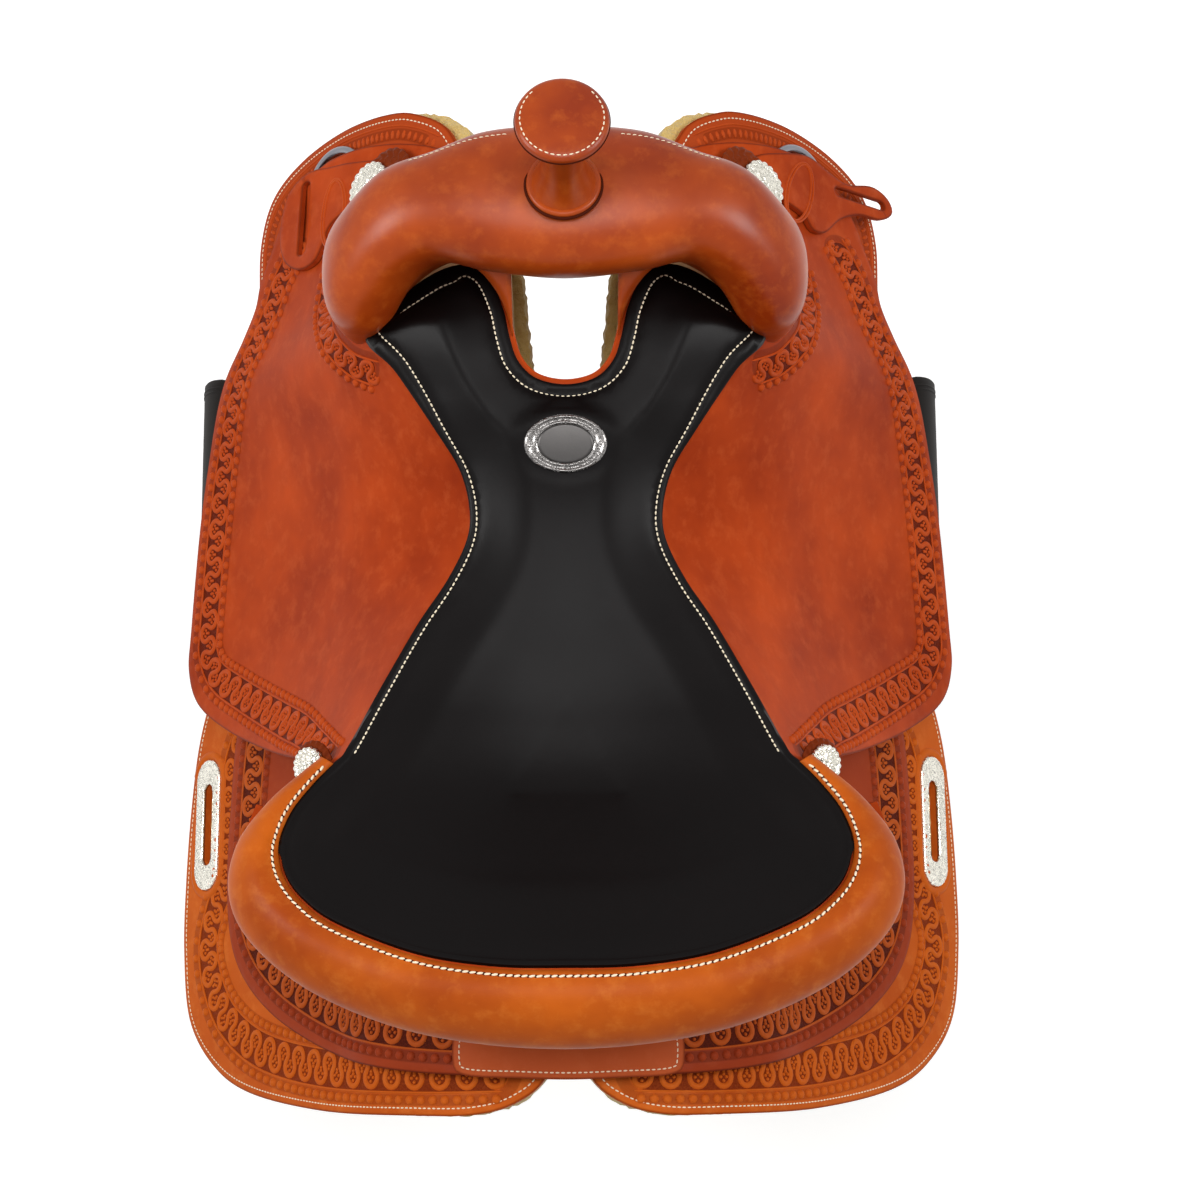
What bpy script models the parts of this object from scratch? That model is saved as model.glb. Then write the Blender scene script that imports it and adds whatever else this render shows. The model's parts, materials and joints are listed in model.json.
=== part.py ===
"""A western reining saddle, built up as a saddler does it: wooden tree, fleece-lined
skirts, ground seat, jockeys, padded seat with a Cheyenne roll, leather-covered fork and
horn, front rigging rings, and fenders with their stirrups.

The frame has +Y towards the horn, +X to the rider's right and +Z up. Its origin is on the
ridge of the horse's back, under the lowest part of the seat. Sizes are in millimetres.
"""

import functools
import math

import bmesh
import bpy
import numpy as np
from mathutils import Vector
from mathutils.geometry import delaunay_2d_cdt

MM = 0.001
GAP = 0.3
SIDES = (("left", -1), ("right", 1))

# The back that the saddle is shaped for
CROWN_RADIUS = 157.0
SIDE_SLOPE = math.radians(50)
ROCKER_RISE = 20.0
ROCKER_REACH = 320.0
ROCKER_LOW_Y = -20.0

# Leathers and lining
FLEECE_THICK = 13.0
SKIRT_THICK = 5.5
JOCKEY_THICK = 4.5
REAR_JOCKEY_THICK = 4.5
FENDER_THICK = 4.0
STRAP_THICK = 4.0
KEEPER_THICK = 3.5
PLATE_LEATHER_THICK = 4.0
COVER_THICK = 3.5
JOCKEY_LIFT = 36.0
FENDER_CLEARANCE = 7.0
SKIRT_TOP = FLEECE_THICK + GAP + SKIRT_THICK

# Tree
BAR_MIDDLE = 73.0
BAR_HALF_WIDTH = 53.0
BAR_THICK = 22.0
BAR_TIP_THICK = 9.0
BAR_EDGE_THICK = 3.0
CANTLE_BOARD_THICK = 12.0
CANTLE_BACK_THICK = 4.0
COVER_FOOT = 44.0

# Horn
HORN_LEAN = math.radians(9)
HORN_BASE = (0.0, 205.0, 172.0)
HORN_HEIGHT = 80.0
HORN_CAP_RADIUS = 26.5
HORN_POST_RADIUS = 9.0
HORN_NECK_RADIUS = 14.0
HORN_POST_DEPTH = 30.0
HORN_PLATE_INSET = 4.0
HORN_PLATE_TOP = 4.0
HORN_PLATE_EDGE = 9.0
HORN_PLATE_FLARE = 14.0
HORN_WRAP_FOOT = 9.0
HORN_WRAP_TOP = 20.0
HORN_WRAP_FLARE = 11.0
HORN_COLLAR_RADIUS = 30.0
COLLAR_EASE = 0.5

# Seat
PAD_EDGE_THICK = 4.0
PAD_CROWN = 9.0
PAD_SIDE_WIDTH = 34.0
SEAM_FADE = 180.0
GROUND_SEAT_THICK = 8.0
NAMEPLATE_HALF = (25.0, 17.5)
NAMEPLATE_THICK = 1.6
NAMEPLATE_Y = 69.0
NAMEPLATE_EASE = 0.6
SEAT_LEATHER_INSET = 7.0
SEAT_LEATHER_EASE = 1.2
GROUND_SEAT_GAP = 2.0
GROUND_SEAT_LEAST = 2.5
BAR_SEAT_EASE = 1.2
CHANNEL_HALF = 22.0
BED_GAP = 0.9

# Rigging, fenders and stirrups
RIGGING_RING_RADIUS = 36.0
RIGGING_WIRE_RADIUS = 2.6
RIGGING_RING_PLACE = (165.0, 272.0)
CONCHO_RADIUS = 14.0
FRONT_CONCHO_RADIUS = 19.0
CONCHO_THICK = 3.0
CONCHO_DOME = 2.0
ROSETTE_SHARE = 1.3
KEEPER_LIFT = 0.8
FLAT_EASE = 1.2
REAR_CONCHO_EASE = 2.4
ROSETTE_THICK = 3.0
BILLET_PLATE_HALF = (11.0, 47.0)
BILLET_SLOT_HALF = (4.5, 30.0)
BILLET_PLATE_THICK = 2.0
BILLET_PLATE_PLACE = (327.0, -139.0)
FENDER_PIVOT = (156.0, 50.0)
FENDER_LIFT = SKIRT_TOP + FENDER_CLEARANCE
FENDER_LEAN = math.radians(14)
FENDER_END = 49.0
FENDER_BEND_START = 306.0
FENDER_BEND_RADIUS = 60.0
FENDER_BEND = math.radians(43)
STIRRUP_LEATHER_HALF = 31.0
LEATHER_REACH = 165.0
LEATHER_EYE_EASE = 0.8
BUCKLE_HALF = 32.0
BUCKLE_SPAN = (-128.0, -90.0)
BUCKLE_THICK = 4.0
HOBBLE_SPAN = (-48.5, -27.0)
HOBBLE_WALL = 3.0
HOBBLE_EASE = 2.0
HOBBLE_OUT = (7.4, -9.8)
HOBBLE_IN = (4.8, -7.5)
STIRRUP_BOLT_DROP = 425.0
STIRRUP_BOLT_RADIUS = 4.5
STIRRUP_HEIGHT = 140.0
STIRRUP_TOP_DEPTH = 34.0
STIRRUP_TREAD_DEPTH = 50.0
STIRRUP_TREAD_HALF = 52.0
STIRRUP_THICK = 11.0
STIRRUP_TREAD_MARGIN = 3.0
STIRRUP_TREAD_THICK = 4.0
BOLT_HEAD = 4.0
BOLT_EASE = 1.5
STIRRUP_PATH = ((41, -10), (42, 10), (52, 45), (66, 85), (72, 115), (67, 134), (50, 140), (25, 140), (0, 140))
RIGGING_STRAP_HALF = 14.0
RIGGING_STRAP_THICK = 2.0
RIGGING_STRAP_TAIL = 7.0
RING_CLEARANCE = 5.2
RING_LIFT = SKIRT_TOP + RING_CLEARANCE

# Station lines: every layer of leather folds along the same lines, so that layers nest
CROWN_STATIONS = 6
PLAN_STATION = 22.0
PLAN_ROW = 26.0
SIDE_STATION = 62.0
EDGE_MARGIN = 3.0

# Patterns, each as points (drop from the spine, place along it) of its smooth outline
SKIRT_PATTERN = (
    (12, 40), (30, 130), (40, 215), (55, 268), (66, 288), (75, 302), (91, 312), (113, 319),
    (164, 323), (216, 317), (254, 301), (271, 272), (273, 232), (272, 150), (268, 60),
    (288, 0), (326, -42), (344, -78), (353, -125), (357, -178), (356, -228), (344, -276),
    (309, -307), (260, -324), (176, -333), (93, -334), (52, -333), (27, -325), (11, -308),
    (5, -270), (5, -180), (5, -60),
)
FLEECE_SHOWS = 10.0
FLEECE_FRONT_INNER = 7
REAR_JOCKEY_PATTERN = (
    (14, -266), (13, -300), (22, -309), (60, -309), (105, -305), (168, -294), (234, -270),
    (277, -237), (292, -192), (291, -130), (284, -76), (262, -50), (200, -55), (140, -80),
    (130, -120), (126, -172), (98, -228), (52, -259),
)
REAR_PLATE_PATTERN = (
    (0, -268), (50, -268), (66, -276), (69, -300), (62, -309), (30, -311), (0, -312),
    (-30, -311), (-62, -309), (-69, -300), (-66, -276), (-50, -268),
)
BAR_PATTERN = (
    (34, 238), (60, 264), (96, 260), (117, 232), (121, 160), (120, 80), (116, 0), (120, -80),
    (124, -150), (123, -230), (108, -285), (70, -300), (36, -290), (26, -230), (26, 0),
)
# Seat outline in plan, right half: (half width, place along)
SEAT_FRONT = (
    (0, 103), (18, 107), (29, 118), (34, 132), (39, 148), (48, 163), (61, 170), (78, 168),
    (98, 158), (112, 150), (123, 142),
)
SEAT_SIDE = (
    (122, 138), (103, 116), (79, 80), (64, 55), (58, 31), (60, 10), (72, -15), (90, -43),
    (110, -80), (129, -118), (137, -128),
)
SEAT_REAR = (
    (148, -140), (160, -158), (165, -178), (161, -195), (149, -210), (128, -224), (83, -241),
    (40, -248), (0, -249),
)
ROLL_OUTER = (
    (146, -122), (155, -130), (174, -148), (190, -172), (196, -203), (187, -235), (156, -264), (108, -282),
    (56, -291), (0, -293),
)
# The roll's section from its inner edge round: share of its width, share of its fatness
ROLL_SECTION = ((0, -0.5), (0, 0.25), (0.15, 0.75), (0.4, 1.0), (0.7, 0.85), (0.92, 0.35),
                (1.0, -0.3), (0.94, -0.8), (0.75, -0.7), (0.4, -0.6))
ROLL_CLEARANCE = 5.2
ROLL_DROP = 15.0
ROLL_FAT = 9.0
CANTLE_START = 7.5
CANTLE_BACK_GAP = 0.6
CANTLE_BELOW_ROLL = 9.5
CANTLE_FOOT = (0.62, 0.93)
CANTLE_FOOT_Y = -120.0
CANTLE_FOOT_RISE = 0.8
GROUND_SEAT_HALF = (
    (0, 98), (30, 100), (70, 104), (98, 100), (104, 60), (100, 0), (88, -60), (82, -116),
    (78, -134), (80, -160), (76, -190), (58, -212), (30, -226), (0, -230),
)
# Heights of the seat's bed at its seam and along its middle, by place along the saddle
SEAM_HEIGHT = ((310, 50), (275, 44), (230, 30), (190, 32), (144, 82), (100, 85), (60, 81), (28, 78),
               (-40, 76), (-100, 84), (-140, 96), (-180, 118), (-220, 146), (-249, 164), (-290, 188))
MIDDLE_HEIGHT = ((170, 104), (103, 100), (70, 90), (28, 80), (-40, 72), (-100, 71),
                 (-150, 80), (-200, 112), (-249, 164), (-290, 206))
SIDE_JOCKEY_PLAN = (
    (76, 274), (86, 282), (112, 291), (130, 297), (156, 302), (190, 290), (205, 264),
    (216, 232), (220, 214), (230, 195), (246, 168), (259, 122), (267, 72), (273, 0),
    (274, -30), (264, -56), (235, -80), (196, -102), (168, -114), (152, -123), (134, -122),
    (120, -110), (104, -80), (84, -43), (66, -15), (54, 10), (52, 31), (58, 55), (73, 80),
    (97, 116), (115, 134), (132, 136), (150, 150), (155, 190), (146, 230), (122, 252),
    (92, 264),
)
KEEPER_LEFT_PLAN = (
    (118, 281), (140, 289), (158, 297), (178, 303), (194, 290), (197, 263), (193, 243),
    (181, 231), (168, 230), (162, 240), (158, 252), (136, 258), (120, 263),
)
KEEPER_LEFT_SLOT = ((177, 267), 2.6, 26.0, 3.0)
KEEPER_RIGHT_PLAN = (
    (120, 283), (140, 294), (161, 300), (176, 294), (190, 288), (210, 290), (222, 285),
    (224, 276), (214, 269), (198, 267), (184, 262), (172, 250), (163, 247), (157, 256),
    (138, 260), (121, 264),
)
KEEPER_RIGHT_SLOT = ((198, 279), 20.0, 2.4, -8.0)
FRONT_CONCHO_PLAN = (130.0, 271.0)
REAR_CONCHO_PLAN = (160.0, -118.0)
FENDER_PATTERN = (
    (-31, 0), (-22, -22), (0, -31), (22, -22), (31, 0), (33, 35), (48, 80), (78, 130),
    (92, 180), (84, 235), (58, 295), (38, 340), (34, 376), (-34, 376), (-38, 340), (-58, 295),
    (-84, 235), (-92, 180), (-78, 130), (-48, 80), (-33, 35),
)
# The leather that comes out over the bar and carries the fender, in the fender's own directions
HANGER_PATTERN = ((-28, -42.5), (28, -29.5), (30, 24), (0, 30), (-30, 24))
HANGER_EASE = 1.6
# The fork's arch, right half from the middle to the foot:
# (sideways, height of the spine), (middle, half depth along the saddle), half thickness
FORK_ARCH = (
    ((0, 150), (198, 43), 27), ((45, 149), (200, 39), 27), ((75, 144), (203, 34), 28),
    ((100, 133), (196, 38), 29), ((122, 112), (179, 41), 29), ((127, 88), (185, 36), 25),
    ((120, 60), (191, 33), 22), ((110, 18), (196, 30), 20),
)
FORK_FULLNESS = 2.3
FORK_SECTIONS = 2
FORK_CORNERS = 16


# Curves and interpolation

def smooth(points, steps, closed=True):
    """Points along a smooth curve through the given ones."""
    p = [np.array(q, float) for q in points]
    count = len(p)
    found = []
    for i in range(count if closed else count - 1):
        if closed:
            a, b, c, d = (p[(i + k) % count] for k in (-1, 0, 1, 2))
        else:
            a, b, c, d = (p[min(max(i + k, 0), count - 1)] for k in (-1, 0, 1, 2))
        for j in range(steps):
            t = j / steps
            found.append(b + (c - a) * t / 2 + (2 * a - 5 * b + 4 * c - d) * t**2 / 2
                         + (3 * b - a - 3 * c + d) * t**3 / 2)
    if not closed:
        found.append(p[-1])
    return np.array(found)


def along(table, y):
    """A value read from (place, value) pairs, smoothly between them."""
    keys = sorted(table)
    ys = [k for k, _ in keys]
    vs = [v for _, v in keys]
    y = min(max(y, ys[0]), ys[-1])
    i = min(max(int(np.searchsorted(ys, y)) - 1, 0), len(ys) - 2)
    slopes = np.gradient(np.array(vs, float), np.array(ys, float))
    width = ys[i + 1] - ys[i]
    t = (y - ys[i]) / width
    h = ((1 + 2 * t) * (1 - t) ** 2, t * (1 - t) ** 2, t**2 * (3 - 2 * t), t**2 * (t - 1))
    return h[0] * vs[i] + h[1] * width * slopes[i] + h[2] * vs[i + 1] + h[3] * width * slopes[i + 1]


def whole(half):
    """A closed outline from its right half, which starts and ends on the middle line."""
    return list(half) + [(-x, y) for x, y in reversed(half[1:-1])]


def ease(t):
    t = min(max(t, 0.0), 1.0)
    return t * t * (3 - 2 * t)


# Surfaces

def ridge(y):
    return ROCKER_RISE * ((y - ROCKER_LOW_Y) / ROCKER_REACH) ** 2


def drape_point(s, y, lift):
    """A point `lift` above the horse's back, `s` round from the spine."""
    turn = min(abs(s) / CROWN_RADIUS, SIDE_SLOPE)
    run = max(abs(s) - CROWN_RADIUS * SIDE_SLOPE, 0.0)
    x = (CROWN_RADIUS + lift) * math.sin(turn) + run * math.cos(SIDE_SLOPE)
    z = (CROWN_RADIUS + lift) * math.cos(turn) - CROWN_RADIUS - run * math.sin(SIDE_SLOPE)
    return np.array((math.copysign(x, s), y, ridge(y) + z))


CROWN_EDGE = CROWN_RADIUS * SIDE_SLOPE
STATIONS = tuple(CROWN_EDGE * k / CROWN_STATIONS for k in range(CROWN_STATIONS + 1))


def drape(s, y, lift):
    """The same in flat facets between the stations, so that layers nest."""
    if abs(s) >= CROWN_EDGE:
        return drape_point(s, y, lift)
    step = CROWN_EDGE / CROWN_STATIONS
    low = math.floor(s / step) * step
    t = (s - low) / step
    return drape_point(low, y, lift) * (1 - t) + drape_point(low + step, y, lift) * t


def bar_thick(s, y):
    """Thickness of a bar, a lens that thins to its edges and to its rear tip."""
    middle = BAR_THICK - (BAR_THICK - BAR_TIP_THICK) * ease((-90 - y) / 150)
    across = (abs(s) - BAR_MIDDLE) / BAR_HALF_WIDTH
    return BAR_EDGE_THICK + (middle - BAR_EDGE_THICK) * max(1 - across**2, 0.0)


def over_bar(s, y):
    """Lift of the leather that lies over a bar and down beside it."""
    middle = BAR_THICK - (BAR_THICK - BAR_TIP_THICK) * ease((-90 - y) / 150)
    across = (abs(s) - BAR_MIDDLE) / (BAR_HALF_WIDTH * 1.12)
    return SKIRT_TOP + 2 * GAP + (middle + GAP) * math.exp(-(across**4))


def back_height(x, y, lift):
    """Height of the draped surface over a point of the plan."""
    reach = CROWN_RADIUS + lift
    edge = reach * math.sin(SIDE_SLOPE)
    inner = min(abs(x), edge)
    z = math.sqrt(reach**2 - inner**2) - CROWN_RADIUS
    return ridge(y) + z - max(abs(x) - edge, 0.0) * math.tan(SIDE_SLOPE)


SEAM = tuple((y, x) for x, y in SEAT_SIDE) + tuple((y, x) for x, y in SEAT_REAR[:3]) + (
    (-300, 165), (190, 136), (230, 120), (275, 84), (310, 70))


def bed(x, y):
    """Height of the saddle's upper surface: the seat's bed, and the jockeys beside it."""
    seam = max(along(SEAM, y), 1.0)
    seam_z = along(SEAM_HEIGHT, y)
    if abs(x) <= seam:
        middle = along(MIDDLE_HEIGHT, y)
        return middle + (seam_z - middle) * (x / seam) ** 2
    fall = max(1 - (abs(x) - seam) / SEAM_FADE, 0.0) ** 2
    rise = seam_z - back_height(seam, y, JOCKEY_LIFT)
    return back_height(x, y, JOCKEY_LIFT) + rise * fall


def bed_point(x, y, lift):
    """A point `lift` above the bed, square to it."""
    d = 2.0
    slope_x = (bed(x + d, y) - bed(x - d, y)) / (2 * d)
    slope_y = (bed(x, y + d) - bed(x, y - d)) / (2 * d)
    normal = np.array((-slope_x, -slope_y, 1.0))
    normal /= np.linalg.norm(normal)
    return np.array((x, y, bed(x, y))) + normal * lift


def bed_facet(x, y, lift):
    """The same in flat triangles between the plan's staggered points, so that layers nest."""
    column = math.floor(x / PLAN_STATION)
    t = x / PLAN_STATION - column
    row = y / PLAN_ROW - (column % 2) / 2
    low = math.floor(row)
    u = row - low
    if t / 2 <= u <= 1 - t / 2:
        shares = ((0, low, 1 - u - t / 2), (0, low + 1, u - t / 2), (1, low + 0.5, t))
    else:
        end = round(u)
        lean = u - end
        shares = ((0, low + end, 1 - t), (1, low + end + 0.5, t / 2 + lean),
                  (1, low + end - 0.5, t / 2 - lean))
    found = np.zeros(3)
    for right, place, share in shares:
        if share > 0:
            found += grid_point(column + right, place + (column % 2) / 2, lift) * share
    return found


@functools.lru_cache(maxsize=None)
def grid_point(column, row, lift):
    return bed_point(column * PLAN_STATION, row * PLAN_ROW, lift)


# Meshes

def material(name, colour, roughness, metallic=0.0):
    found = bpy.data.materials.new(name)
    found.use_nodes = True
    shader = found.node_tree.nodes["Principled BSDF"]
    srgb = [int(colour[i:i + 2], 16) / 255 for i in (1, 3, 5)]
    linear = [c / 12.92 if c <= 0.04045 else ((c + 0.055) / 1.055) ** 2.4 for c in srgb]
    shader.inputs["Base Color"].default_value = (*linear, 1)
    shader.inputs["Roughness"].default_value = roughness
    shader.inputs["Metallic"].default_value = metallic
    return found


def add_object(name, points, faces, finish, origin=(0.0, 0.0, 0.0), sharp=40):
    """A mesh object from points in millimetres, with its own origin."""
    origin = np.array(origin, float)
    mesh = bpy.data.meshes.new(name)
    mesh.from_pydata([tuple((np.array(p) - origin) * MM) for p in points], [], faces)
    work = bmesh.new()
    work.from_mesh(mesh)
    bmesh.ops.recalc_face_normals(work, faces=work.faces)
    work.to_mesh(mesh)
    work.free()
    mesh.materials.append(finish)
    mesh.shade_smooth()
    mesh.set_sharp_from_angle(angle=math.radians(sharp))
    found = bpy.data.objects.new(name, mesh)
    found.location = Vector(origin * MM)
    bpy.context.collection.objects.link(found)
    return found


def inside(point, ring):
    """Whether a point lies inside a ring."""
    x, y = point
    crossed = False
    for (x0, y0), (x1, y1) in zip(ring, np.roll(ring, -1, axis=0)):
        if (y0 > y) != (y1 > y) and x < (x1 - x0) * (y - y0) / (y1 - y0) + x0:
            crossed = not crossed
    return crossed


def edge_distance(point, ring):
    """Distance from a point to the nearest side of a ring."""
    starts = ring
    ends = np.roll(ring, -1, axis=0)
    run = ends - starts
    t = ((point - starts) * run).sum(1) / np.maximum((run**2).sum(1), 1e-9)
    near = starts + run * np.clip(t, 0, 1)[:, None]
    return float(np.sqrt(((point - near) ** 2).sum(1)).min())


def cut_flat(outline, lines, pitch, holes=(), guides=(), stagger=False):
    """Triangles of a flat pattern whose edges follow the station lines and any guides."""
    rings = [np.array(outline, float)] + [np.array(h, float) for h in holes]
    points = []
    edges = []
    for ring in rings + [np.array(g, float) for g in guides]:
        start = len(points)
        points += [Vector(p) for p in ring]
        edges += [(start + i, start + (i + 1) % len(ring)) for i in range(len(ring))]
    low = rings[0].min(axis=0)
    high = rings[0].max(axis=0)
    rows = np.arange(math.floor(low[1] / pitch) * pitch, high[1] + 2 * pitch, pitch)
    for line in lines:
        if not low[0] - 1 < line < high[0] + 1:
            continue
        offset = pitch * (round(line / PLAN_STATION) % 2 - 2) / 2 if stagger else 0.0
        kept = [y for y in rows + offset
                if not inside((line, y), rings[0])
                or min(edge_distance((line, y), r) for r in rings) > EDGE_MARGIN]
        start = len(points)
        points += [Vector((line, y)) for y in kept]
        edges += [(start + i, start + i + 1) for i in range(len(kept) - 1)]
    found, _, triangles, *_ = delaunay_2d_cdt(points, edges, [], 0, 1e-5)
    flat = np.array([tuple(v) for v in found])
    kept = []
    for tri in triangles:
        middle = flat[list(tri)].mean(axis=0)
        if inside(middle, rings[0]) and not any(inside(middle, h) for h in rings[1:]):
            kept.append(tuple(tri))
    used = sorted({i for tri in kept for i in tri})
    index = {old: new for new, old in enumerate(used)}
    return flat[used], [tuple(index[i] for i in tri) for tri in kept]


def thicken(name, flat, triangles, lower, upper, finish, **more):
    """A closed solid between two surfaces over one flat pattern."""
    count = len(flat)
    points = [lower(*p) for p in flat] + [upper(*p) for p in flat]
    ends = {}
    for a, b, c in triangles:
        for e in ((a, b), (b, c), (c, a)):
            ends[e] = ends.get(e, 0) + 1
    faces = [(a + count, b + count, c + count) for a, b, c in triangles]
    faces += [(c, b, a) for a, b, c in triangles]
    faces += [(a, b, b + count, a + count) for a, b in ends if (b, a) not in ends]
    return add_object(name, points, faces, finish, **more)


def station_lines():
    """Lines over the crown and then down the flat sides, on both sides of the spine."""
    found = list(STATIONS)
    end = max(s for s, _ in SKIRT_PATTERN)
    while found[-1] + SIDE_STATION < end:
        found.append(found[-1] + SIDE_STATION)
    return sorted(set(found) | {-x for x in found})


def draped_panel(name, pattern, lift, thick, finish, side=1, pitch=48.0, steps=2, holes=()):
    """Leather cut to a pattern and laid over the back, `lift` being a number or a function."""
    outline = smooth(pattern, steps)
    flat, triangles = cut_flat(outline, station_lines(), pitch, holes)
    height = lift if callable(lift) else lambda s, y: lift
    return thicken(
        name, flat, triangles,
        lambda s, y: drape(s, y, height(s, y)) * (side, 1, 1),
        lambda s, y: drape(s, y, height(s, y) + thick) * (side, 1, 1), finish)


def cut_plan(outline, **more):
    """A flat pattern over the seat's bed, on the plan's staggered points."""
    lines = np.arange(-16, 17) * PLAN_STATION
    return cut_flat(outline, lines, PLAN_ROW, stagger=True, **more)


def bed_panel(name, outline, low, high, finish, side=1, holes=(), origin=(0, 0, 0)):
    """Leather laid over the seat's bed between two lifts, numbers or functions of the plan."""
    flat, triangles = cut_plan(outline, holes=holes)
    bottom = low if callable(low) else lambda x, y: low
    top = high if callable(high) else lambda x, y: high
    return thicken(
        name, flat, triangles,
        lambda x, y: bed_facet(x, y, bottom(x, y)) * (side, 1, 1),
        lambda x, y: bed_facet(x, y, top(x, y)) * (side, 1, 1), finish, origin=origin)


def loft(name, rings, finish, closed=False, **more):
    """A solid through rings of as many points each, capped unless it closes on itself."""
    count = len(rings[0])
    points = [p for ring in rings for p in ring]
    faces = []
    for i in range(len(rings) if closed else len(rings) - 1):
        a = i * count
        b = (i + 1) % len(rings) * count
        for j in range(count):
            k = (j + 1) % count
            faces += [(a + j, a + k, b + k), (a + j, b + k, b + j)]
    if not closed:
        faces.append(tuple(reversed(range(count))))
        faces.append(tuple(range(len(points) - count, len(points))))
    return add_object(name, points, faces, finish, **more)


def turned(name, profile, finish, place, axis, segments=24, **more):
    """A solid turned about an axis from (radius, height) pairs, first and last on the axis
    or, for a tube, closed on itself."""
    axis = np.array(axis, float) / np.linalg.norm(axis)
    across = np.cross(axis, (0.0, 1.0, 0.0) if abs(axis[1]) < 0.9 else (1.0, 0.0, 0.0))
    across /= np.linalg.norm(across)
    other = np.cross(axis, across)
    place = np.array(place, float)
    tube = min(r for r, _ in profile) > 0
    inner = profile if tube else profile[1:-1]
    points = []
    for r, h in inner:
        for k in range(segments):
            a = 2 * math.pi * k / segments
            points.append(place + axis * h + (across * math.cos(a) + other * math.sin(a)) * r)
    faces = []
    rows = len(inner)
    for i in range(rows if tube else rows - 1):
        a = i * segments
        b = (i + 1) % rows * segments
        for k in range(segments):
            m = (k + 1) % segments
            faces.append((a + k, a + m, b + m, b + k))
    if not tube:
        for row, (_, h) in ((0, profile[0]), (rows - 1, profile[-1])):
            points.append(place + axis * h)
            tip = len(points) - 1
            for k in range(segments):
                m = (k + 1) % segments
                faces.append((tip, row * segments + k, row * segments + m))
    return add_object(name, points, faces, finish, **more)


def cut_away(target, cutter):
    """Takes the cutter's shape out of the target and drops the cutter."""
    modifier = target.modifiers.new("Cut", "BOOLEAN")
    modifier.operation = "DIFFERENCE"
    modifier.solver = "EXACT"
    modifier.object = cutter
    cutter.hide_render = True
    cutter.display_type = "WIRE"
    cutter.hide_set(True)


# Pieces of the tree

def fork_rings(inset):
    """Sections of the fork along its arch from the left foot to the right one."""
    right = [[*spine, *depth, thick] for spine, depth, thick in FORK_ARCH]
    left = [[-x, z, y, a, b] for x, z, y, a, b in reversed(right[1:])]
    stations = smooth(left + right, FORK_SECTIONS, closed=False)
    rings = []
    for i, (x, z, y, a, b) in enumerate(stations):
        before = stations[max(i - 1, 0)]
        after = stations[min(i + 1, len(stations) - 1)]
        run = np.array((after[0] - before[0], after[1] - before[1]))
        run /= np.linalg.norm(run)
        out = np.array((-run[1], run[0]))
        ring = []
        for k in range(FORK_CORNERS):
            turn = 2 * math.pi * k / FORK_CORNERS
            c, s = math.cos(turn), math.sin(turn)
            deep = math.copysign(abs(c) ** (2 / FORK_FULLNESS), c) * (a - inset)
            high = math.copysign(abs(s) ** (2 / FORK_FULLNESS), s) * (b - inset)
            ring.append((x + out[0] * high, y + deep, z + out[1] * high))
        rings.append(ring)
    return rings


def bar_object(name, side, finish, margin=0.0):
    """A bar, or a cutter larger than it by a margin."""
    outline = smooth(BAR_PATTERN, 2)
    flat, triangles = cut_flat(outline, station_lines(), 30.0)
    low = SKIRT_TOP + GAP - margin
    return thicken(
        name, flat, triangles,
        lambda s, y: drape(s, y, low) * (side, 1, 1),
        lambda s, y: drape(s, y, low + 2 * margin + bar_thick(s, y)) * (side, 1, 1), finish)


def horn_axis():
    return np.array((0.0, math.sin(HORN_LEAN), math.cos(HORN_LEAN)))


def horn_place(height):
    return np.array(HORN_BASE) + horn_axis() * height


def horn_bore(name, radius, finish):
    """A cutter for the hole that the horn's post stands in."""
    low, high = -HORN_POST_DEPTH, HORN_HEIGHT / 2
    profile = ((0, low), (radius, low), (radius, high), (0, high))
    return turned(name, profile, finish, horn_place(0), horn_axis())


def make_tree(wood, steel):
    """The two bars, the fork seated on them, and the horn's post with its cap plate."""
    fork = loft("fork", fork_rings(COVER_THICK + GAP), wood)
    for label, side in SIDES:
        bar_object(f"bar_{label}", side, wood)
        cut_away(fork, bar_object(f"bar_seat_{label}", side, wood, margin=GAP))
    cut_away(fork, horn_bore("horn_socket", HORN_POST_RADIUS + GAP, wood))
    foot = GAP - HORN_POST_DEPTH
    top = HORN_HEIGHT - HORN_PLATE_TOP - GAP
    edge = HORN_CAP_RADIUS - HORN_PLATE_INSET
    turned("horn_post",
           ((0, foot), (HORN_POST_RADIUS, foot), (HORN_POST_RADIUS, HORN_HEIGHT - HORN_PLATE_FLARE),
            (edge, HORN_HEIGHT - HORN_PLATE_EDGE), (edge, top), (0, top)),
           steel, horn_place(0), horn_axis())


# Leather and lining against the back

def fleece_pattern():
    """The skirt's pattern, let out along its inner edge, where the fleece shows."""
    inner = range(len(SKIRT_PATTERN))
    shown = [i for i in inner if i < FLEECE_FRONT_INNER]
    return [(s - FLEECE_SHOWS if i in shown else s, y) for i, (s, y) in enumerate(SKIRT_PATTERN)]


def slot_ring(middle, half_across, half_along, turn=0.0, corners=6):
    """Outline of a slot with round ends, its long side along the saddle unless turned."""
    radius = min(half_across, half_along)
    long = max(half_across, half_along) - radius
    points = []
    for end in (1, -1):
        for k in range(corners + 1):
            a = math.pi * k / corners - math.pi / 2
            points.append((end * (long + radius * math.cos(a)), end * radius * math.sin(a)))
    spin = math.radians(turn) + (math.pi / 2 if half_along > half_across else 0.0)
    c, s = math.cos(spin), math.sin(spin)
    return [(middle[0] + c * p - s * q, middle[1] + s * p + c * q) for p, q in points]


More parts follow.
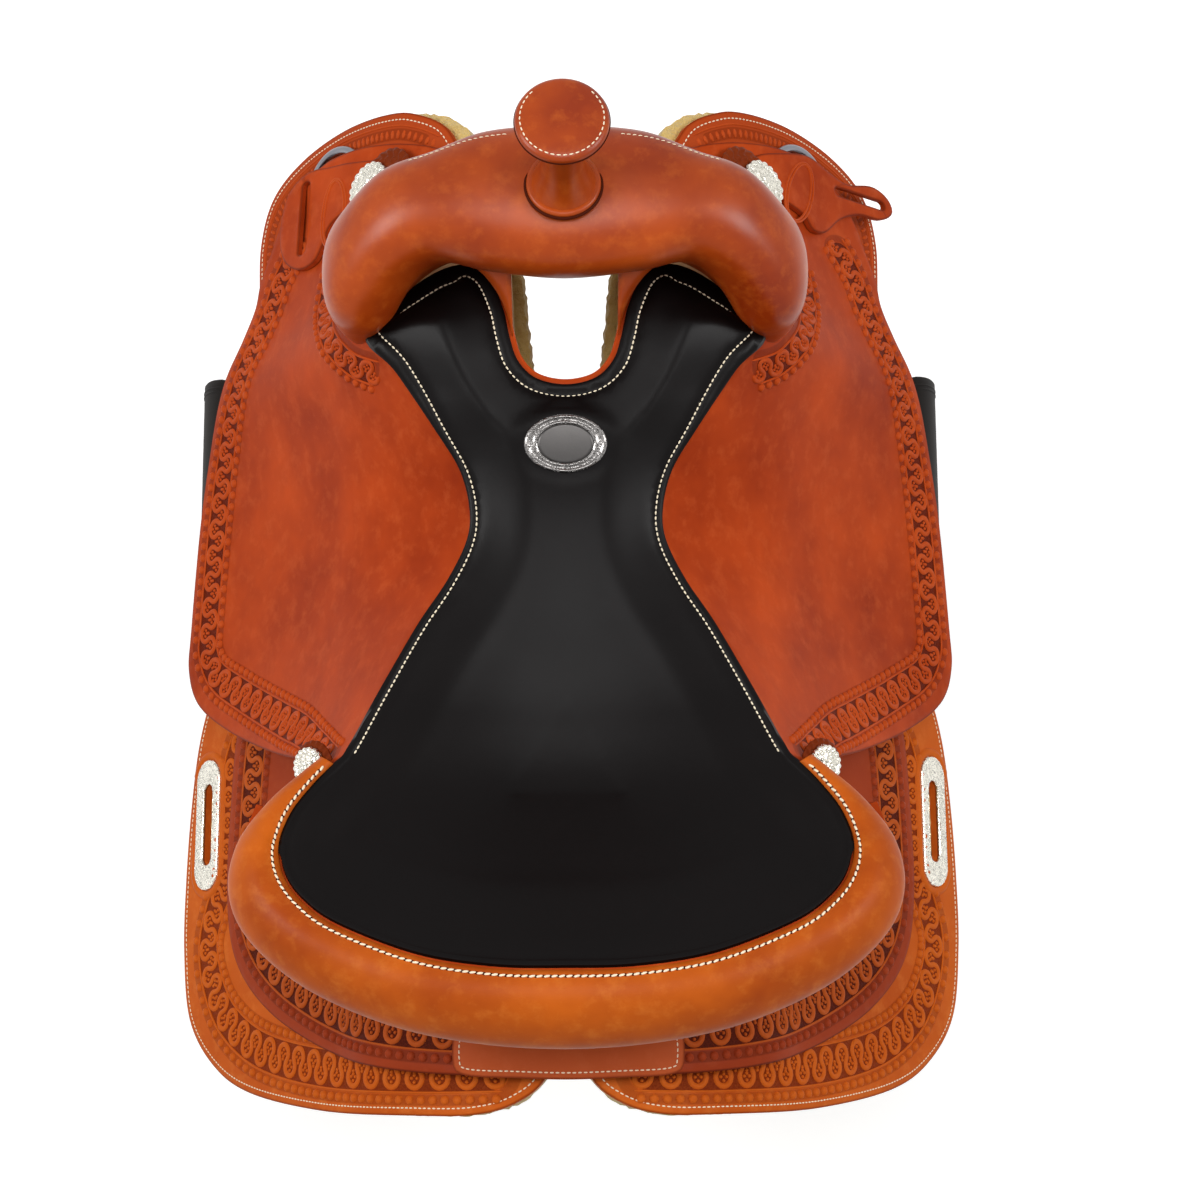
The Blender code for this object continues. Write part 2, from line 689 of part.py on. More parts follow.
def make_skirts(tan, fleece, dark, silver):
    """Fleece, skirts, slot plates and the leathers behind the seat, from the back outwards."""
    slot = slot_ring(BILLET_PLATE_PLACE, *BILLET_SLOT_HALF)
    plate_lift = SKIRT_TOP + GAP
    for label, side in SIDES:
        draped_panel(f"fleece_lining_{label}", fleece_pattern(), 0.0, FLEECE_THICK, fleece, side)
        draped_panel(f"skirt_{label}", SKIRT_PATTERN, FLEECE_THICK + GAP, SKIRT_THICK, tan,
                     side, holes=[slot])
        draped_panel(f"billet_slot_plate_{label}", slot_ring(BILLET_PLATE_PLACE, *BILLET_PLATE_HALF),
                     plate_lift, BILLET_PLATE_THICK, silver, side, steps=1, holes=[slot])
        draped_panel(f"rear_jockey_{label}", REAR_JOCKEY_PATTERN, over_bar, REAR_JOCKEY_THICK,
                     dark, side, pitch=30.0)
    draped_panel("rear_plate", REAR_PLATE_PATTERN,
                 lambda s, y: over_bar(s, y) + REAR_JOCKEY_THICK + GAP, PLATE_LEATHER_THICK,
                 dark, pitch=15.0)


# The seat

def seat_outline(inset=0.0, steps=2):
    """The whole seat in plan, drawn in by an inset."""
    right = list(SEAT_FRONT[:-1]) + list(SEAT_SIDE) + list(SEAT_REAR)
    ring = [(-x, y) for x, y in reversed(right[1:-1])] + right
    ring = smooth(ring, steps)
    ahead = np.roll(ring, -1, axis=0) - np.roll(ring, 1, axis=0)
    normal = np.stack([-ahead[:, 1], ahead[:, 0]], axis=1)
    normal /= np.linalg.norm(normal, axis=1)[:, None]
    area = np.sum(ring[:, 0] * np.roll(ring[:, 1], -1) - np.roll(ring[:, 0], -1) * ring[:, 1])
    return ring + normal * inset * math.copysign(1, area)


def make_seat(black, russet, wood, silver):
    """The padded seat over its leather, the side jockeys and the ground seat."""
    ring = seat_outline()

    def pad_top(x, y):
        d = edge_distance(np.array((x, y)), ring)
        return BED_GAP + PAD_EDGE_THICK + PAD_CROWN * ease(d / PAD_SIDE_WIDTH)

    flat, triangles = cut_plan(ring, guides=[seat_outline(9.0, 1)])
    thicken("seat_pad", flat, triangles, lambda x, y: bed_facet(x, y, BED_GAP),
            lambda x, y: bed_point(x, y, pad_top(x, y)), black)
    bed_panel("seat_leather", seat_outline(SEAT_LEATHER_INSET, 2), -JOCKEY_THICK, -SEAT_LEATHER_EASE, russet)
    for label, side in SIDES:
        bed_panel(f"side_jockey_{label}", smooth(SIDE_JOCKEY_PLAN, 2), -JOCKEY_THICK, 0.0, russet, side)
    flat, triangles = cut_plan(smooth(whole(GROUND_SEAT_HALF), 2))
    thicken("ground_seat", flat, triangles, ground_bottom,
            lambda x, y: bed_facet(x, y, -JOCKEY_THICK - GROUND_SEAT_GAP), wood)
    place, normal, ahead = bed_frame(0.0, NAMEPLATE_Y, BED_GAP + PAD_EDGE_THICK + PAD_CROWN + NAMEPLATE_EASE)
    oval_plate("nameplate", place, normal, ahead, silver)


def ground_bottom(x, y):
    """The ground seat lies on the bars and bridges the channel between them."""
    top = bed_facet(x, y, -JOCKEY_THICK - GROUND_SEAT_GAP)
    on_bar = bar_top_height(x, y) + GAP + BAR_SEAT_EASE
    arch = top[2] - GROUND_SEAT_THICK
    share = ease((abs(x) - CHANNEL_HALF) / 12)
    z = min(on_bar * share + arch * (1 - share), top[2] - GROUND_SEAT_LEAST)
    return np.array((x, y, z))


def bed_frame(x, y, lift):
    """Point, square direction and forward direction on the bed."""
    place = bed_facet(x, y, lift)
    normal = bed_point(x, y, 1.0) - bed_point(x, y, 0.0)
    normal /= np.linalg.norm(normal)
    ahead = np.array((0.0, 1.0, 0.0))
    ahead -= normal * ahead.dot(normal)
    return place, normal, ahead / np.linalg.norm(ahead)


def oval_plate(name, place, normal, ahead, finish, segments=32):
    """A low oval plate with a rounded rim."""
    across = np.cross(ahead, normal)
    rings = []
    for grow, height in ((1.0, 0.0), (1.0, 0.6), (0.96, 1.0)):
        rings.append([place + across * NAMEPLATE_HALF[0] * grow * math.cos(2 * math.pi * k / segments)
                      + ahead * NAMEPLATE_HALF[1] * grow * math.sin(2 * math.pi * k / segments)
                      + normal * NAMEPLATE_THICK * height for k in range(segments)])
    return loft(name, rings, finish)


def plan_normal(curve):
    """Directions square to a curve in plan, away from the seat."""
    ahead = np.gradient(curve, axis=0)
    normal = np.stack([ahead[:, 1], -ahead[:, 0]], axis=1)
    if normal[len(curve) // 2][1] > 0:
        normal = -normal
    return normal / np.linalg.norm(normal, axis=1)[:, None]


def rear_arc(points, steps):
    """A curve round the back of the seat from the left corner to the right one."""
    right = list(points)
    left = [(-x, y) for x, y in right[:-1]]
    return smooth(left + right[::-1], steps, closed=False)


def make_cantle(tan, dark, wood):
    """The roll round the back of the seat, the cantle board under it and the leather behind."""
    seat = rear_arc(SEAT_SIDE[-1:] + SEAT_REAR, 2)
    inner = seat + plan_normal(seat) * ROLL_CLEARANCE
    outer = rear_arc(ROLL_OUTER, 2)
    rings = []
    for edge, near, far in zip(seat, inner, outer):
        z = bed(*edge)
        width = np.linalg.norm(far - near)
        drop = ROLL_DROP * min(width / 40.0, 1.0)
        fat = ROLL_FAT * min(width / 30.0, 1.0)
        ring = []
        for share, height in ROLL_SECTION:
            flat = near + (far - near) * share
            ring.append((flat[0], flat[1], z + 1.0 + height * fat - drop * share**2))
        rings.append(ring)
    loft("cheyenne_roll", rings, tan)
    top = rear_arc(SEAT_REAR[1:], 2)
    outward = plan_normal(top)
    board = []
    back = []
    behind = CANTLE_START + CANTLE_BOARD_THICK
    near_back = behind + CANTLE_BACK_GAP
    for p, n in zip(top, outward):
        board.append(cantle_section(p, n, CANTLE_START, behind))
        back.append(cantle_section(p, n, near_back + CANTLE_BACK_THICK, near_back))
    loft("cantle_board", board, wood)
    loft("cantle_back", back, dark)


def cantle_section(p, n, first, second):
    """Four corners of the cantle's wall under one point of its top edge, between two offsets."""
    z_top = bed(*p) - CANTLE_BELOW_ROLL
    foot = np.array((p[0] * CANTLE_FOOT[0], CANTLE_FOOT_Y + (p[1] - CANTLE_FOOT_Y) * CANTLE_FOOT[1]))
    corners = []
    for base, level in ((foot, None), (p, z_top)):
        for out in (first, second):
            q = base + n * out
            z = level if level is not None else cantle_foot_height(q[0], q[1])
            corners.append((q[0], q[1], z))
    return [corners[0], corners[1], corners[3], corners[2]]


def cantle_foot_height(x, y):
    return bar_top_height(x, y) + CANTLE_FOOT_RISE


def bar_top_height(x, y):
    """Height of a bar's upper face over a point of the plan."""
    s = abs(x)
    for _ in range(4):
        lift = SKIRT_TOP + GAP + bar_thick(s, y)
        s = CROWN_RADIUS * math.asin(min(abs(x) / (CROWN_RADIUS + lift), 0.99))
    return back_height(x, y, lift)


# The fork's cover and the horn's leathers

def tube(name, outer, inner, finish, **more):
    """A wall between two lofted skins, open at both ends."""
    count = len(outer[0])
    points = [p for ring in outer for p in ring] + [p for ring in inner for p in ring]
    shift = len(outer) * count
    faces = []
    for i in range(len(outer) - 1):
        a = i * count
        b = a + count
        for j in range(count):
            k = (j + 1) % count
            faces += [(a + j, a + k, b + k), (a + j, b + k, b + j)]
            faces += [(shift + a + j, shift + b + k, shift + a + k),
                      (shift + a + j, shift + b + j, shift + b + k)]
    last = (len(outer) - 1) * count
    for j in range(count):
        k = (j + 1) % count
        faces.append((j, shift + j, shift + k, k))
        faces.append((last + k, shift + last + k, shift + last + j, last + j))
    return add_object(name, points, faces, finish, **more)


def make_swell(russet):
    """Leather drawn over the fork, round the horn's neck and over its cap."""
    outer = [r for r in fork_rings(0.0) if np.mean(r, axis=0)[2] > COVER_FOOT]
    inner = [r for r in fork_rings(COVER_THICK) if np.mean(r, axis=0)[2] > COVER_FOOT]
    cover = tube("swell_cover", outer, inner, russet)
    cut_away(cover, horn_bore("cover_bore", HORN_POST_RADIUS + 2 * GAP, russet))
    wall = HORN_POST_RADIUS + GAP
    neck = HORN_NECK_RADIUS
    foot = HORN_WRAP_FOOT
    top = HORN_HEIGHT - HORN_WRAP_TOP
    turned("horn_neck_wrap",
           ((wall, foot), (neck + HORN_WRAP_FLARE, foot), (neck + 6, foot + 9), (neck + 2, foot + 22),
            (neck, foot + 38), (neck + 1, top), (wall, top)),
           russet, horn_place(0), horn_axis())
    turned("horn_cap", cap_profile(), russet, horn_place(0), horn_axis())
    inner = neck + HORN_WRAP_FLARE + COLLAR_EASE
    turned("horn_collar",
           ((inner, foot - 1), (HORN_COLLAR_RADIUS, foot - 1), (HORN_COLLAR_RADIUS, foot + 1.5),
            (inner, foot + 3)),
           russet, horn_place(0), horn_axis())


def cap_profile():
    """Leather round the horn's metal cap, open beneath where the neck comes up."""
    r = HORN_CAP_RADIUS
    h = HORN_HEIGHT
    hollow = r - HORN_PLATE_INSET + GAP
    return ((HORN_NECK_RADIUS + 2, h - 15), (r - 6, h - 13.5), (r - 1.5, h - 10), (r, h - 6),
            (r - 1, h - 2.5), (r - 5, h - 0.8), (r * 0.4, h), (0.5, h + 0.2), (0.5, h - HORN_PLATE_TOP),
            (hollow, h - HORN_PLATE_TOP), (hollow, h - HORN_PLATE_EDGE - GAP),
            (HORN_NECK_RADIUS + 2, h - 12.2))


# Hardware

def disc(name, place, normal, radius, thick, finish, segments=16, dome=0.0):
    """A round plate, flat or domed, lying square to a direction."""
    normal = np.array(normal) / np.linalg.norm(normal)
    across = np.cross(normal, (0.0, 1.0, 0.0))
    across /= np.linalg.norm(across)
    other = np.cross(normal, across)
    rings = []
    for share, height in ((1.0, 0.0), (0.94, thick), (0.4, thick + dome)):
        ring = []
        for k in range(segments):
            a = 2 * math.pi * k / segments
            out = across * math.cos(a) + other * math.sin(a)
            ring.append(place + out * radius * share + normal * height)
        rings.append(ring)
    return loft(name, rings, finish)


def mirrored(point, side):
    return np.array(point) * (side, 1, 1)


def make_conchos(dark, silver):
    """The front and rear conchos, each on its rosette."""
    for label, side in SIDES:
        place, normal, _ = bed_frame(*FRONT_CONCHO_PLAN, KEEPER_LIFT + KEEPER_THICK + FLAT_EASE)
        place, normal = mirrored(place, side), mirrored(normal, side)
        disc(f"front_rosette_{label}", place, normal, FRONT_CONCHO_RADIUS * ROSETTE_SHARE,
             ROSETTE_THICK, dark)
        disc(f"front_concho_{label}", place + normal * (ROSETTE_THICK + GAP), normal,
             FRONT_CONCHO_RADIUS, CONCHO_THICK, silver, dome=CONCHO_DOME)
        place, normal, _ = bed_frame(*REAR_CONCHO_PLAN, REAR_CONCHO_EASE)
        place, normal = mirrored(place, side), mirrored(normal, side)
        disc(f"rear_rosette_{label}", place, normal, CONCHO_RADIUS * ROSETTE_SHARE, ROSETTE_THICK, dark)
        disc(f"rear_concho_{label}", place + normal * (ROSETTE_THICK + GAP), normal,
             CONCHO_RADIUS, CONCHO_THICK, silver, dome=CONCHO_DOME)


def make_rigging(russet, steel):
    """The cinch rings in their straps, and the slotted keepers in front of the swell."""
    s0, y0 = RIGGING_RING_PLACE
    for label, side in SIDES:
        middle = mirrored(drape_point(s0, y0, RING_LIFT), side)
        ring_object(f"rigging_ring_{label}", middle, side, steel)
        down, ahead, square = side_axes(side, y0)
        outer = []
        inner = []
        for y in (-RIGGING_STRAP_HALF, RIGGING_STRAP_HALF):
            for grow, found in ((RIGGING_STRAP_THICK, outer), (0.0, inner)):
                found.append([middle + down * (s - s0) + ahead * y + square * (h - RING_LIFT)
                              for s, h in strap_profile(grow)])
        tube(f"rigging_strap_{label}", outer, inner, russet)
    bed_panel("latigo_keeper_left", smooth(KEEPER_LEFT_PLAN, 2), KEEPER_LIFT, KEEPER_LIFT + KEEPER_THICK,
              russet, -1, holes=[slot_ring(*KEEPER_LEFT_SLOT)])
    bed_panel("latigo_keeper_right", smooth(KEEPER_RIGHT_PLAN, 2), KEEPER_LIFT, KEEPER_LIFT + KEEPER_THICK,
              russet, 1, holes=[slot_ring(*KEEPER_RIGHT_SLOT)])


def strap_profile(grow):
    """The strap's loop round the ring's wire, as (drop, lift) pairs."""
    s0 = RIGGING_RING_PLACE[0] - RIGGING_RING_RADIUS
    low = s0 - RIGGING_WIRE_RADIUS - GAP - grow * 1.6
    high = s0 + RIGGING_WIRE_RADIUS + RIGGING_STRAP_TAIL + grow
    half = RIGGING_WIRE_RADIUS + GAP + grow
    return ((low, RING_LIFT - half), (high - 2, RING_LIFT - half), (high, RING_LIFT - half * 0.5),
            (high + 0.8, RING_LIFT), (high, RING_LIFT + half * 0.5), (high - 2, RING_LIFT + half),
            (low, RING_LIFT + half))


def side_axes(side, y):
    """Down the side, along the saddle, and square out of the flat side of the back."""
    down = np.array((side * math.cos(SIDE_SLOPE), 0.0, -math.sin(SIDE_SLOPE)))
    ahead = np.array((0.0, 2.0, ridge(y + 1) - ridge(y - 1)))
    square = np.cross(down, ahead) * side
    ahead = np.cross(square, down) * side
    return down, ahead / np.linalg.norm(ahead), square / np.linalg.norm(square)


def ring_object(name, middle, side, finish, segments=28, corners=6):
    """A ring of round wire that lies along the side of the back."""
    down, ahead, square = side_axes(side, middle[1])
    rings = []
    for k in range(segments):
        a = 2 * math.pi * k / segments
        out = down * math.cos(a) + ahead * math.sin(a)
        ring = []
        for j in range(corners):
            b = 2 * math.pi * j / corners
            reach = RIGGING_RING_RADIUS + RIGGING_WIRE_RADIUS * math.cos(b)
            ring.append(middle + out * reach + square * RIGGING_WIRE_RADIUS * math.sin(b))
        rings.append(ring)
    return loft(name, rings, finish, closed=True, origin=middle)


# Fenders and stirrups

def fender_point(u, v, lift, side):
    """A point of the fender: u forward, v down from its pivot, bending to hang plumb."""
    s = FENDER_PIVOT[0] + v * math.cos(FENDER_LEAN) - u * math.sin(FENDER_LEAN)
    y = FENDER_PIVOT[1] + v * math.sin(FENDER_LEAN) + u * math.cos(FENDER_LEAN)
    low = drape_point(min(s, FENDER_BEND_START), FENDER_PIVOT[1], 0.0)
    turn = min(max(s - FENDER_BEND_START, 0.0) / FENDER_BEND_RADIUS, FENDER_BEND)
    run = max(s - FENDER_BEND_START - FENDER_BEND_RADIUS * FENDER_BEND, 0.0)
    q = SIDE_SLOPE + turn
    begin = min(s / CROWN_RADIUS, SIDE_SLOPE)
    x = low[0] + FENDER_BEND_RADIUS * (math.sin(q) - math.sin(SIDE_SLOPE)) + run * math.cos(q)
    z = low[2] + FENDER_BEND_RADIUS * (math.cos(q) - math.cos(SIDE_SLOPE)) - run * math.sin(q)
    q = begin + turn
    return np.array((side * (x + lift * math.sin(q)), y, z + lift * math.cos(q)))


def fender_frame(v, lift, side):
    """Place and directions (across, down, out) on the fender's middle line."""
    place = fender_point(0.0, v, lift, side)
    across = fender_point(1.0, v, lift, side) - fender_point(-1.0, v, lift, side)
    down = fender_point(0.0, v + 1, lift, side) - fender_point(0.0, v - 1, lift, side)
    across /= np.linalg.norm(across)
    out = np.cross(across, down)
    out *= side * math.copysign(1, out[0])
    out /= np.linalg.norm(out)
    down = down - across * down.dot(across)
    return place, across, down / np.linalg.norm(down), out


def local(frame, u, v, n):
    """A point in a frame from fender_frame: across, down and out."""
    place, across, down, out = frame
    return place + across * u + down * v + out * n


def make_fender(label, side, dark, black, steel):
    """A fender with its hanger, and the stirrup leather, buckle and hobble behind it."""
    length = (STIRRUP_BOLT_DROP - FENDER_END) / max(v for _, v in FENDER_PATTERN)
    outline = smooth([(u, v * length if v > 0 else v) for u, v in FENDER_PATTERN], 2)
    flat, triangles = cut_flat(outline, np.arange(-80, 81, 40), 30.0)
    pivot = fender_point(0, 0, FENDER_LIFT, side)
    thicken(f"fender_{label}", flat, triangles,
            lambda u, v: fender_point(u, v, FENDER_LIFT, side),
            lambda u, v: fender_point(u, v, FENDER_LIFT + FENDER_THICK, side), dark, origin=pivot)
    flat, triangles = cut_flat(HANGER_PATTERN, (0,), 40.0)
    thicken(f"leather_hanger_{label}", flat, triangles,
            lambda u, v: fender_point(u, v, SKIRT_TOP + HANGER_EASE, side),
            lambda u, v: fender_point(u, v, FENDER_LIFT - 2 * GAP, side), dark)
    frame = fender_frame(STIRRUP_BOLT_DROP, FENDER_LIFT, side)
    bolt = frame[0]
    half = STIRRUP_LEATHER_HALF
    outer = []
    inner = []
    loop, hole = leather_profile()
    for u in (-half, half):
        outer.append([local(frame, u, v, n) for v, n in loop])
        inner.append([local(frame, u, v, n) for v, n in hole])
    tube(f"stirrup_leather_{label}", outer, inner, dark, origin=pivot)
    high, low = BUCKLE_SPAN
    box = [(-BUCKLE_HALF, high), (BUCKLE_HALF, high), (BUCKLE_HALF, low), (-BUCKLE_HALF, low)]
    behind = -STRAP_THICK - 4 * GAP
    rings = [[local(frame, u, v, behind - depth) for u, v in box] for depth in (0.0, BUCKLE_THICK)]
    loft(f"leather_buckle_{label}", rings, steel, origin=pivot)
    make_hobble(f"hobble_strap_{label}", frame, dark, pivot)
    make_stirrup(label, side, frame, black, steel, bolt)


def leather_profile():
    """Outlines (drop, out) of the stirrup leather folded round the bolt and sewn, and of its hole."""
    r = STIRRUP_BOLT_RADIUS + LEATHER_EYE_EASE
    outer = [((r + STRAP_THICK) * math.sin(math.pi * k / 8), (r + STRAP_THICK) * math.cos(math.pi * k / 8))
             for k in range(9)]
    near = -GAP * 2
    far = near - STRAP_THICK
    outer += [(-24, far - 2.0), (-40, far), (-LEATHER_REACH, far), (-LEATHER_REACH, near),
              (-50, near), (-40, 0.5), (-24, 4.0)]
    inner = [(r * math.sin(2 * math.pi * k / 16), r * math.cos(2 * math.pi * k / 16)) for k in range(16)]
    return outer, inner


def make_hobble(name, frame, finish, origin):
    """The strap that gathers the fender's end and the stirrup leather above the stirrup."""
    u = STIRRUP_LEATHER_HALF + HOBBLE_EASE
    skins = []
    for half, (front, behind) in ((u + HOBBLE_WALL, HOBBLE_OUT), (u, HOBBLE_IN)):
        corners = ((-half, front), (half, front), (half, behind), (-half, behind))
        skins.append([[local(frame, a, v, n) for a, n in corners] for v in HOBBLE_SPAN])
    return tube(name, *skins, finish, origin=origin)


def make_stirrup(label, side, frame, black, steel, bolt):
    """A stirrup swept round its opening, its bolt and the pad on its tread."""
    path = smooth(STIRRUP_PATH, 2, closed=False)
    path = np.concatenate([path * (-1, 1), path[::-1][1:]])
    ahead = np.gradient(path, axis=0)
    ahead /= np.linalg.norm(ahead, axis=1)[:, None]
    rings = []
    for (u, v), (du, dv) in zip(path, ahead):
        share = ease((v - 20) / (STIRRUP_HEIGHT - 30))
        deep = (STIRRUP_TOP_DEPTH + (STIRRUP_TREAD_DEPTH - STIRRUP_TOP_DEPTH) * share) / 2
        thick = STIRRUP_THICK / 2
        ring = []
        for a, b in ((-1, 0), (-0.86, -1), (0.86, -1), (1, 0), (0.86, 1), (-0.86, 1)):
            ring.append(local(frame, u - dv * b * thick, v + du * b * thick, a * deep))
        rings.append(ring)
    body = loft(f"stirrup_{label}", rings, black, origin=bolt)
    reach = STIRRUP_PATH[0][0] + STIRRUP_THICK / 2 + BOLT_EASE
    hole = turned(f"stirrup_hole_{label}", ((0, -reach - 5), (STIRRUP_BOLT_RADIUS + GAP, -reach - 5),
                                            (STIRRUP_BOLT_RADIUS + GAP, reach + 5), (0, reach + 5)),
                  steel, bolt, frame[1], segments=16)
    cut_away(body, hole)
    head = STIRRUP_BOLT_RADIUS + BOLT_HEAD
    end = reach + BOLT_HEAD
    turned(f"stirrup_bolt_{label}",
           ((0, -end), (head, -end), (head, -reach - GAP), (STIRRUP_BOLT_RADIUS, -reach - GAP),
            (STIRRUP_BOLT_RADIUS, reach + GAP), (head, reach + GAP), (head, end), (0, end)),
           steel, bolt, frame[1], segments=16, origin=bolt)
    half = STIRRUP_TREAD_HALF
    level = STIRRUP_HEIGHT - STIRRUP_THICK / 2 - 2 * GAP
    deep = STIRRUP_TREAD_DEPTH / 2 - STIRRUP_TREAD_MARGIN
    corners = ((-half, -deep), (half, -deep), (half, deep), (-half, deep))
    rings = [[local(frame, u, level - t, n) for u, n in corners] for t in (0.0, STIRRUP_TREAD_THICK)]
    loft(f"stirrup_tread_{label}", rings, black, origin=bolt)


def main():
    for old in list(bpy.data.objects):
        bpy.data.objects.remove(old, do_unlink=True)
    russet = material("russet_leather", "#A8442A", 0.42)
    tan = material("tan_leather", "#C8682F", 0.42)
    dark = material("dark_leather", "#7A3324", 0.5)
    black = material("black_leather", "#1D1817", 0.36)
    fleece = material("fleece", "#D8B04A", 0.95)
    wood = material("tree_wood", "#C9A878", 0.7)
    steel = material("steel", "#8A8A90", 0.3, 1.0)
    silver = material("silver", "#E4E0D6", 0.25, 1.0)
    make_tree(wood, steel)
    make_skirts(tan, fleece, dark, silver)
    make_seat(black, russet, wood, silver)
    make_cantle(tan, dark, wood)
    make_swell(russet)
    make_conchos(dark, silver)
    make_rigging(russet, steel)
    for label, side in SIDES:
        make_fender(label, side, dark, black, steel)


main()
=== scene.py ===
"""The look of the reining saddle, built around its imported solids.

Sizes are in millimetres here and become metres when a mesh is made. +Y is towards the
horn, +X to the rider's right, +Z up.
"""

import json
import math

import bpy
import numpy as np
from mathutils import Matrix, Vector
from mathutils.geometry import delaunay_2d_cdt


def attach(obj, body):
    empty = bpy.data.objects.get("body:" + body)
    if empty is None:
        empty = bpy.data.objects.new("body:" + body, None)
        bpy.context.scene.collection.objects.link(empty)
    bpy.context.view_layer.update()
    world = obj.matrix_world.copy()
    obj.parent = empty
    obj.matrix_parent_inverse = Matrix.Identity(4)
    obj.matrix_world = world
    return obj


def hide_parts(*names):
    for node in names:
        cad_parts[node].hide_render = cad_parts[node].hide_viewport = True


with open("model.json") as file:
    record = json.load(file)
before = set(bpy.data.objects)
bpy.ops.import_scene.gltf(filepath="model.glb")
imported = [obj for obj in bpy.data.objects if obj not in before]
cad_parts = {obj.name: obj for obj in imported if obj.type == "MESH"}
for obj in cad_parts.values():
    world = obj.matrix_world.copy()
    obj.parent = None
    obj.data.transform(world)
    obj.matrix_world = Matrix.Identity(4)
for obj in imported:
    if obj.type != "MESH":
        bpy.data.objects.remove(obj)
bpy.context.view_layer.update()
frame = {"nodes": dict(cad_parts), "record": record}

MM = 0.001
SIDES = (("left", -1), ("right", 1))
LAYER_GAP = 0.3

# The back that the saddle is shaped for: a round crown, flat sides and a rocker lengthways
CROWN_RADIUS = 157.0
SIDE_SLOPE = math.radians(50)
ROCKER_RISE = 20.0
ROCKER_REACH = 320.0
ROCKER_LOW_Y = -20.0

# Thicknesses and lifts of the layers over the back
FLEECE_THICK = 13.0
SKIRT_THICK = 5.5
SKIRT_LOW = FLEECE_THICK + LAYER_GAP
SKIRT_TOP = SKIRT_LOW + SKIRT_THICK
REAR_JOCKEY_THICK = 4.5
REAR_PLATE_THICK = 4.0
JOCKEY_THICK = 4.5
JOCKEY_LIFT = 36.0

# The bars under the rear jockeys
BAR_MIDDLE = 73.0
BAR_HALF_WIDTH = 53.0
BAR_THICK = 22.0
BAR_TIP_THICK = 9.0
BAR_TIP_Y = -90.0
BAR_TIP_RUN = 150.0

# Patterns on the back, as points (drop from the spine, place along it) of a smooth outline
SKIRT_PATTERN = (
    (12, 40), (30, 130), (40, 215), (55, 268), (66, 288), (75, 302), (91, 312), (113, 319),
    (164, 323), (216, 317), (254, 301), (271, 272), (273, 232), (272, 150), (268, 60),
    (288, 0), (326, -42), (344, -78), (353, -125), (357, -178), (356, -228), (344, -276),
    (309, -307), (260, -324), (176, -333), (93, -334), (52, -333), (27, -325), (11, -308),
    (5, -270), (5, -180), (5, -60),
)
SKIRT_STITCH_INSET = 4.6
FLEECE_SHOWS = 10.0
FLEECE_FRONT_INNER = 7
FLEECE_TUFTS = 0.9
REAR_JOCKEY_PATTERN = (
    (14, -266), (13, -300), (22, -309), (60, -309), (105, -305), (168, -294), (234, -270),
    (277, -237), (292, -192), (291, -130), (284, -76), (262, -50), (200, -55), (140, -80),
    (130, -120), (126, -172), (98, -228), (52, -259),
)
REAR_PLATE_PATTERN = (
    (0, -268), (42, -268), (55.4, -276), (58, -300), (52.1, -309), (25.2, -311), (0, -312),
    (-25.2, -311), (-52.1, -309), (-58, -300), (-55.4, -276), (-42, -268),
)
REAR_PLATE_STITCH_INSET = 4.0

# The slot plates on the skirts: place on the back, half sizes across and along, and the raised rim
BILLET_PLATE_PLACE = (327.0, -139.0)
BILLET_PLATE_HALF = (15.0, 46.5)
BILLET_SLOT_HALF = (6.0, 29.0)
BILLET_RIM_HALF = 3.2
BILLET_RIM_HEIGHT = 1.9

# Seat, roll and side jockeys seen from above, as points (x, y) of the right half
SEAT_FRONT = (
    (0, 103), (18, 107), (29, 118), (34, 133), (38, 151), (47, 172), (61, 181), (78, 179),
    (97, 168), (111, 157), (124, 144),
)
SEAT_SIDE = (
    (122, 138), (103, 116), (79, 80), (64, 55), (58, 31), (60, 10), (72, -15), (90, -43),
    (110, -80), (129, -118), (137, -128),
)
SEAT_REAR = (
    (148, -140), (160, -158), (165, -178), (161, -195), (149, -210), (128, -224), (83, -241),
    (40, -248), (0, -249),
)
ROLL_OUTER = (
    (146, -122), (155, -130), (174, -148), (191, -172), (196, -201), (184, -229), (151, -257),
    (104, -278), (56, -289), (0, -293),
)
SIDE_JOCKEY_PLAN = (
    (76, 270), (86, 278), (104, 285), (122, 290), (142, 294), (164, 295), (184, 286),
    (198, 270), (207, 252), (216, 232), (220, 214), (230, 195), (246, 168), (259, 122), (267, 72), (273, 0),
    (274, -30), (264, -56), (235, -80), (196, -102), (168, -114), (152, -123), (134, -122),
    (120, -110), (104, -80), (84, -43), (66, -15), (54, 10), (52, 31), (58, 55), (73, 80),
    (97, 116), (115, 132), (121, 140), (128, 156), (134, 190), (128, 226), (112, 248),
    (92, 262),
)

# Heights of the bed that carries them, as (place along, height), and how far outwards the seat's shape fades
SEAM_HEIGHT = (
    (310, 50), (275, 44), (230, 30), (190, 32), (144, 82), (100, 85), (60, 81), (28, 78),
    (-40, 76), (-100, 84), (-140, 96), (-180, 118), (-220, 146), (-249, 164), (-290, 188),
)
MIDDLE_HEIGHT = (
    (170, 104), (103, 100), (70, 90), (28, 80), (-40, 72), (-100, 71), (-150, 80), (-200, 112),
    (-249, 164), (-290, 206),
)
SEAM_BEYOND_SEAT = ((-300, 165), (190, 136), (230, 120), (275, 84), (310, 70))
SEAM_FADE = 180.0

